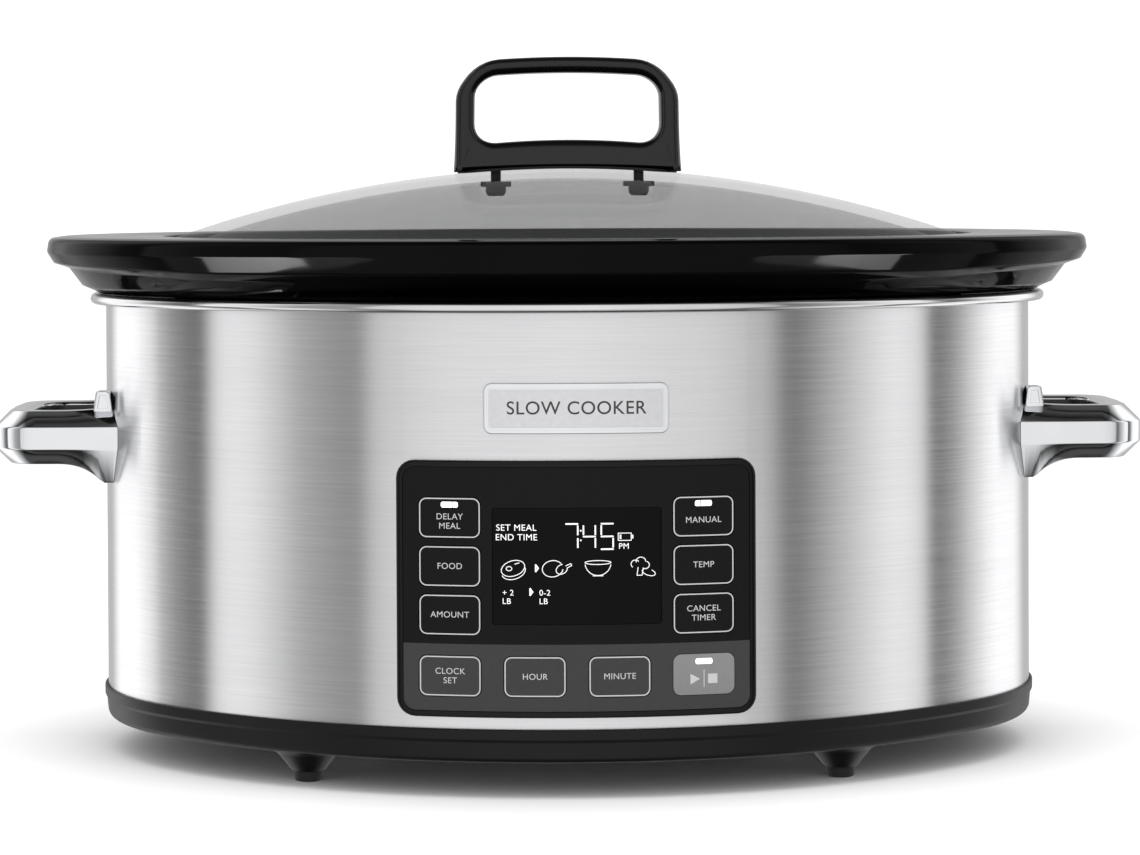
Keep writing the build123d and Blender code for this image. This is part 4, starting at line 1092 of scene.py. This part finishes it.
# ---- Cord gland ----
# A moulded nylon gland through the back of the wall, its bore empty: the cord isn't part of
# this model.

gland_z = 38.0
gland_y = 131.1
bm = bmesh.new()
gland = rounded(
    [
        (3.6, -7.0, 0), (4.9, -7.0, 0.4), (4.9, 0, 0), (8.0, 0, 0.3),
        (8.0, 2.4, 1.0), (4.4, 2.4, 0.8), (3.6, 1.4, 0.4), (3.6, -7.0, 0),
    ]
)
lathe(bm, gland, (0, gland_y, gland_z), 36, Matrix.Rotation(radians(-90), 4, "X"))
finish_piece(bm, "cord_gland_body", [satin_black], "base", ["cord_gland"])


# ---- Studio ----
# A white sweep under the cooker and an evenly lit white room: large panels at the sides, a
# darker gap behind each of them, and white behind the object.

bm = bmesh.new()
bmesh.ops.create_circle(bm, cap_ends=True, radius=9.0, segments=64)
mesh = bpy.data.meshes.new("floor")
bm.to_mesh(mesh)
bm.free()
floor = bpy.data.objects.new("floor", mesh)
bpy.context.scene.collection.objects.link(floor)
floor_paper, tree, shader = new_material("white paper sweep", Roughness=0.55, Specular_IOR_Level=0.0)
mottle(tree, shader, "#f3f3f3", "#f8f8f8", 2)
mesh.materials.append(floor_paper)
floor.visible_glossy = False

world = bpy.data.worlds.new("studio")
bpy.context.scene.world = world
world.use_nodes = True
tree = world.node_tree
background = tree.nodes["Background"]
direction = add_node(tree, "TexCoord")
split = add_node(tree, "SeparateXYZ", Vector=direction.outputs["Generated"])
left_right = add_node(tree, "Math", {"operation": "MULTIPLY", "1": -1.0}, _0=split.outputs["Y"])
bearing = add_node(tree, "Math", {"operation": "ARCTAN2"}, _0=split.outputs["X"], _1=left_right.outputs[0])
along = add_node(
    tree, "MapRange", {"From Min": -pi, "From Max": pi, "To Min": 0.0, "To Max": 1.0}, Value=bearing.outputs[0]
)
panels = add_node(tree, "ValToRGB", Fac=along.outputs[0])
# Bearing in degrees from the front, positive to the right, and how bright the room is there
room = [
    (-180, 0.45), (-150, 0.5), (-138, 1.2), (-118, 1.2), (-104, 0.85), (-94, 0.26), (-84.5, 0.08), (-81, 1.1),
    (-71, 0.9), (-59, 0.42), (-48, 0.3), (-44.5, 0.26), (-42.5, 0.72), (-25, 0.87), (0, 0.9), (30, 0.78),
    (43, 0.6), (46.5, 0.17), (50, 0.18), (61, 0.55), (73, 1.0), (81.5, 1.02), (84, 0.06), (92, 0.3),
    (101, 0.95), (113, 1.2), (132, 1.15), (146, 0.5), (180, 0.45),
]
ramp = panels.color_ramp
for degrees, level in room[1:-1]:
    ramp.elements.new((degrees + 180) / 360).color = (level, level, level, 1.0)
for stop in (ramp.elements[0], ramp.elements[-1]):
    stop.color = (0.45, 0.45, 0.45, 1.0)
# The ceiling and the floor straight above and below are dark
off_level = add_node(tree, "Math", {"operation": "ABSOLUTE"}, _0=split.outputs["Z"])
ceiling = add_node(
    tree, "MapRange", {"From Min": 0.74, "From Max": 0.92, "To Min": 1.0, "To Max": 0.06}, Value=off_level.outputs[0]
)
mirrored = add_node(tree, "Math", {"operation": "MULTIPLY"}, _0=panels.outputs[0], _1=ceiling.outputs[0])
seen = add_node(tree, "LightPath")
room_light = add_node(
    tree, "Mix", {"data_type": "FLOAT", "2": 1.0}, _0=seen.outputs["Is Glossy Ray"], _3=mirrored.outputs[0]
)
tree.links.new(room_light.outputs[0], background.inputs["Color"])
background.inputs["Strength"].default_value = 1.15

lamp = bpy.data.lights.new("overhead softbox", "AREA")
lamp.shape = "RECTANGLE"
lamp.size = 1.6
lamp.size_y = 1.0
lamp.energy = 14
softbox = bpy.data.objects.new("overhead_softbox", lamp)
softbox.location = (0, -0.25, 1.7)
softbox.visible_glossy = False
bpy.context.scene.collection.objects.link(softbox)

# Small strips low in front put the long highlights on the pot's rim and light nothing else
glazed = bpy.data.collections.new("glazed pot")
glazed.objects.link(bpy.data.objects["glazed_pot"])
strip_height, strip_spread = 0.08, radians(45)
rim_strips = (
    ((-0.2894, -0.229, 0.06), (-0.138, -0.109, 0.189), 0.105, 0.062),
    ((-0.235, -0.275, 0.06), (-0.100, -0.122, 0.189), 0.10, 0.006),
    ((0.268, -0.250, 0.06), (0.117, -0.118, 0.189), 0.08, 0.031),
    ((0.225, -0.280, 0.06), (0.096, -0.123, 0.189), 0.10, 0.006),
)
for place, aim, width, strength in rim_strips:
    strip_lamp = bpy.data.lights.new("rim strip", "AREA")
    strip_lamp.shape = "RECTANGLE"
    strip_lamp.size, strip_lamp.size_y = width, strip_height
    strip_lamp.energy = strength
    strip_lamp.spread = strip_spread
    strip = bpy.data.objects.new("rim_strip", strip_lamp)
    facing = (Vector(aim) - Vector(place)).to_track_quat("-Z", "Y")
    strip.matrix_world = Matrix.Translation(place) @ facing.to_matrix().to_4x4()
    strip.visible_camera = False
    bpy.context.scene.collection.objects.link(strip)
    strip.light_linking.receiver_collection = glazed

# The camera stands 1.3 m in front, a little above the rim, looking very slightly down
lens = 104.7
eye = Vector((-0.028, -1.3, 0.2195))
tilt, turn, roll = 0.9, 1.234, -0.25
camera_data = bpy.data.cameras.new("camera")
camera_data.lens = lens
camera_data.sensor_width = 36.0
camera_data.shift_x = 0.0022
camera_data.shift_y = -0.1719
camera = bpy.data.objects.new("camera", camera_data)
camera.matrix_world = (
    Matrix.Translation(eye)
    @ Matrix.Rotation(radians(-turn), 4, "Z")
    @ Matrix.Rotation(radians(90 - tilt), 4, "X")
    @ Matrix.Rotation(radians(roll), 4, "Z")
)
bpy.context.scene.collection.objects.link(camera)
bpy.context.scene.camera = camera
bpy.context.scene.view_settings.view_transform = "Standard"
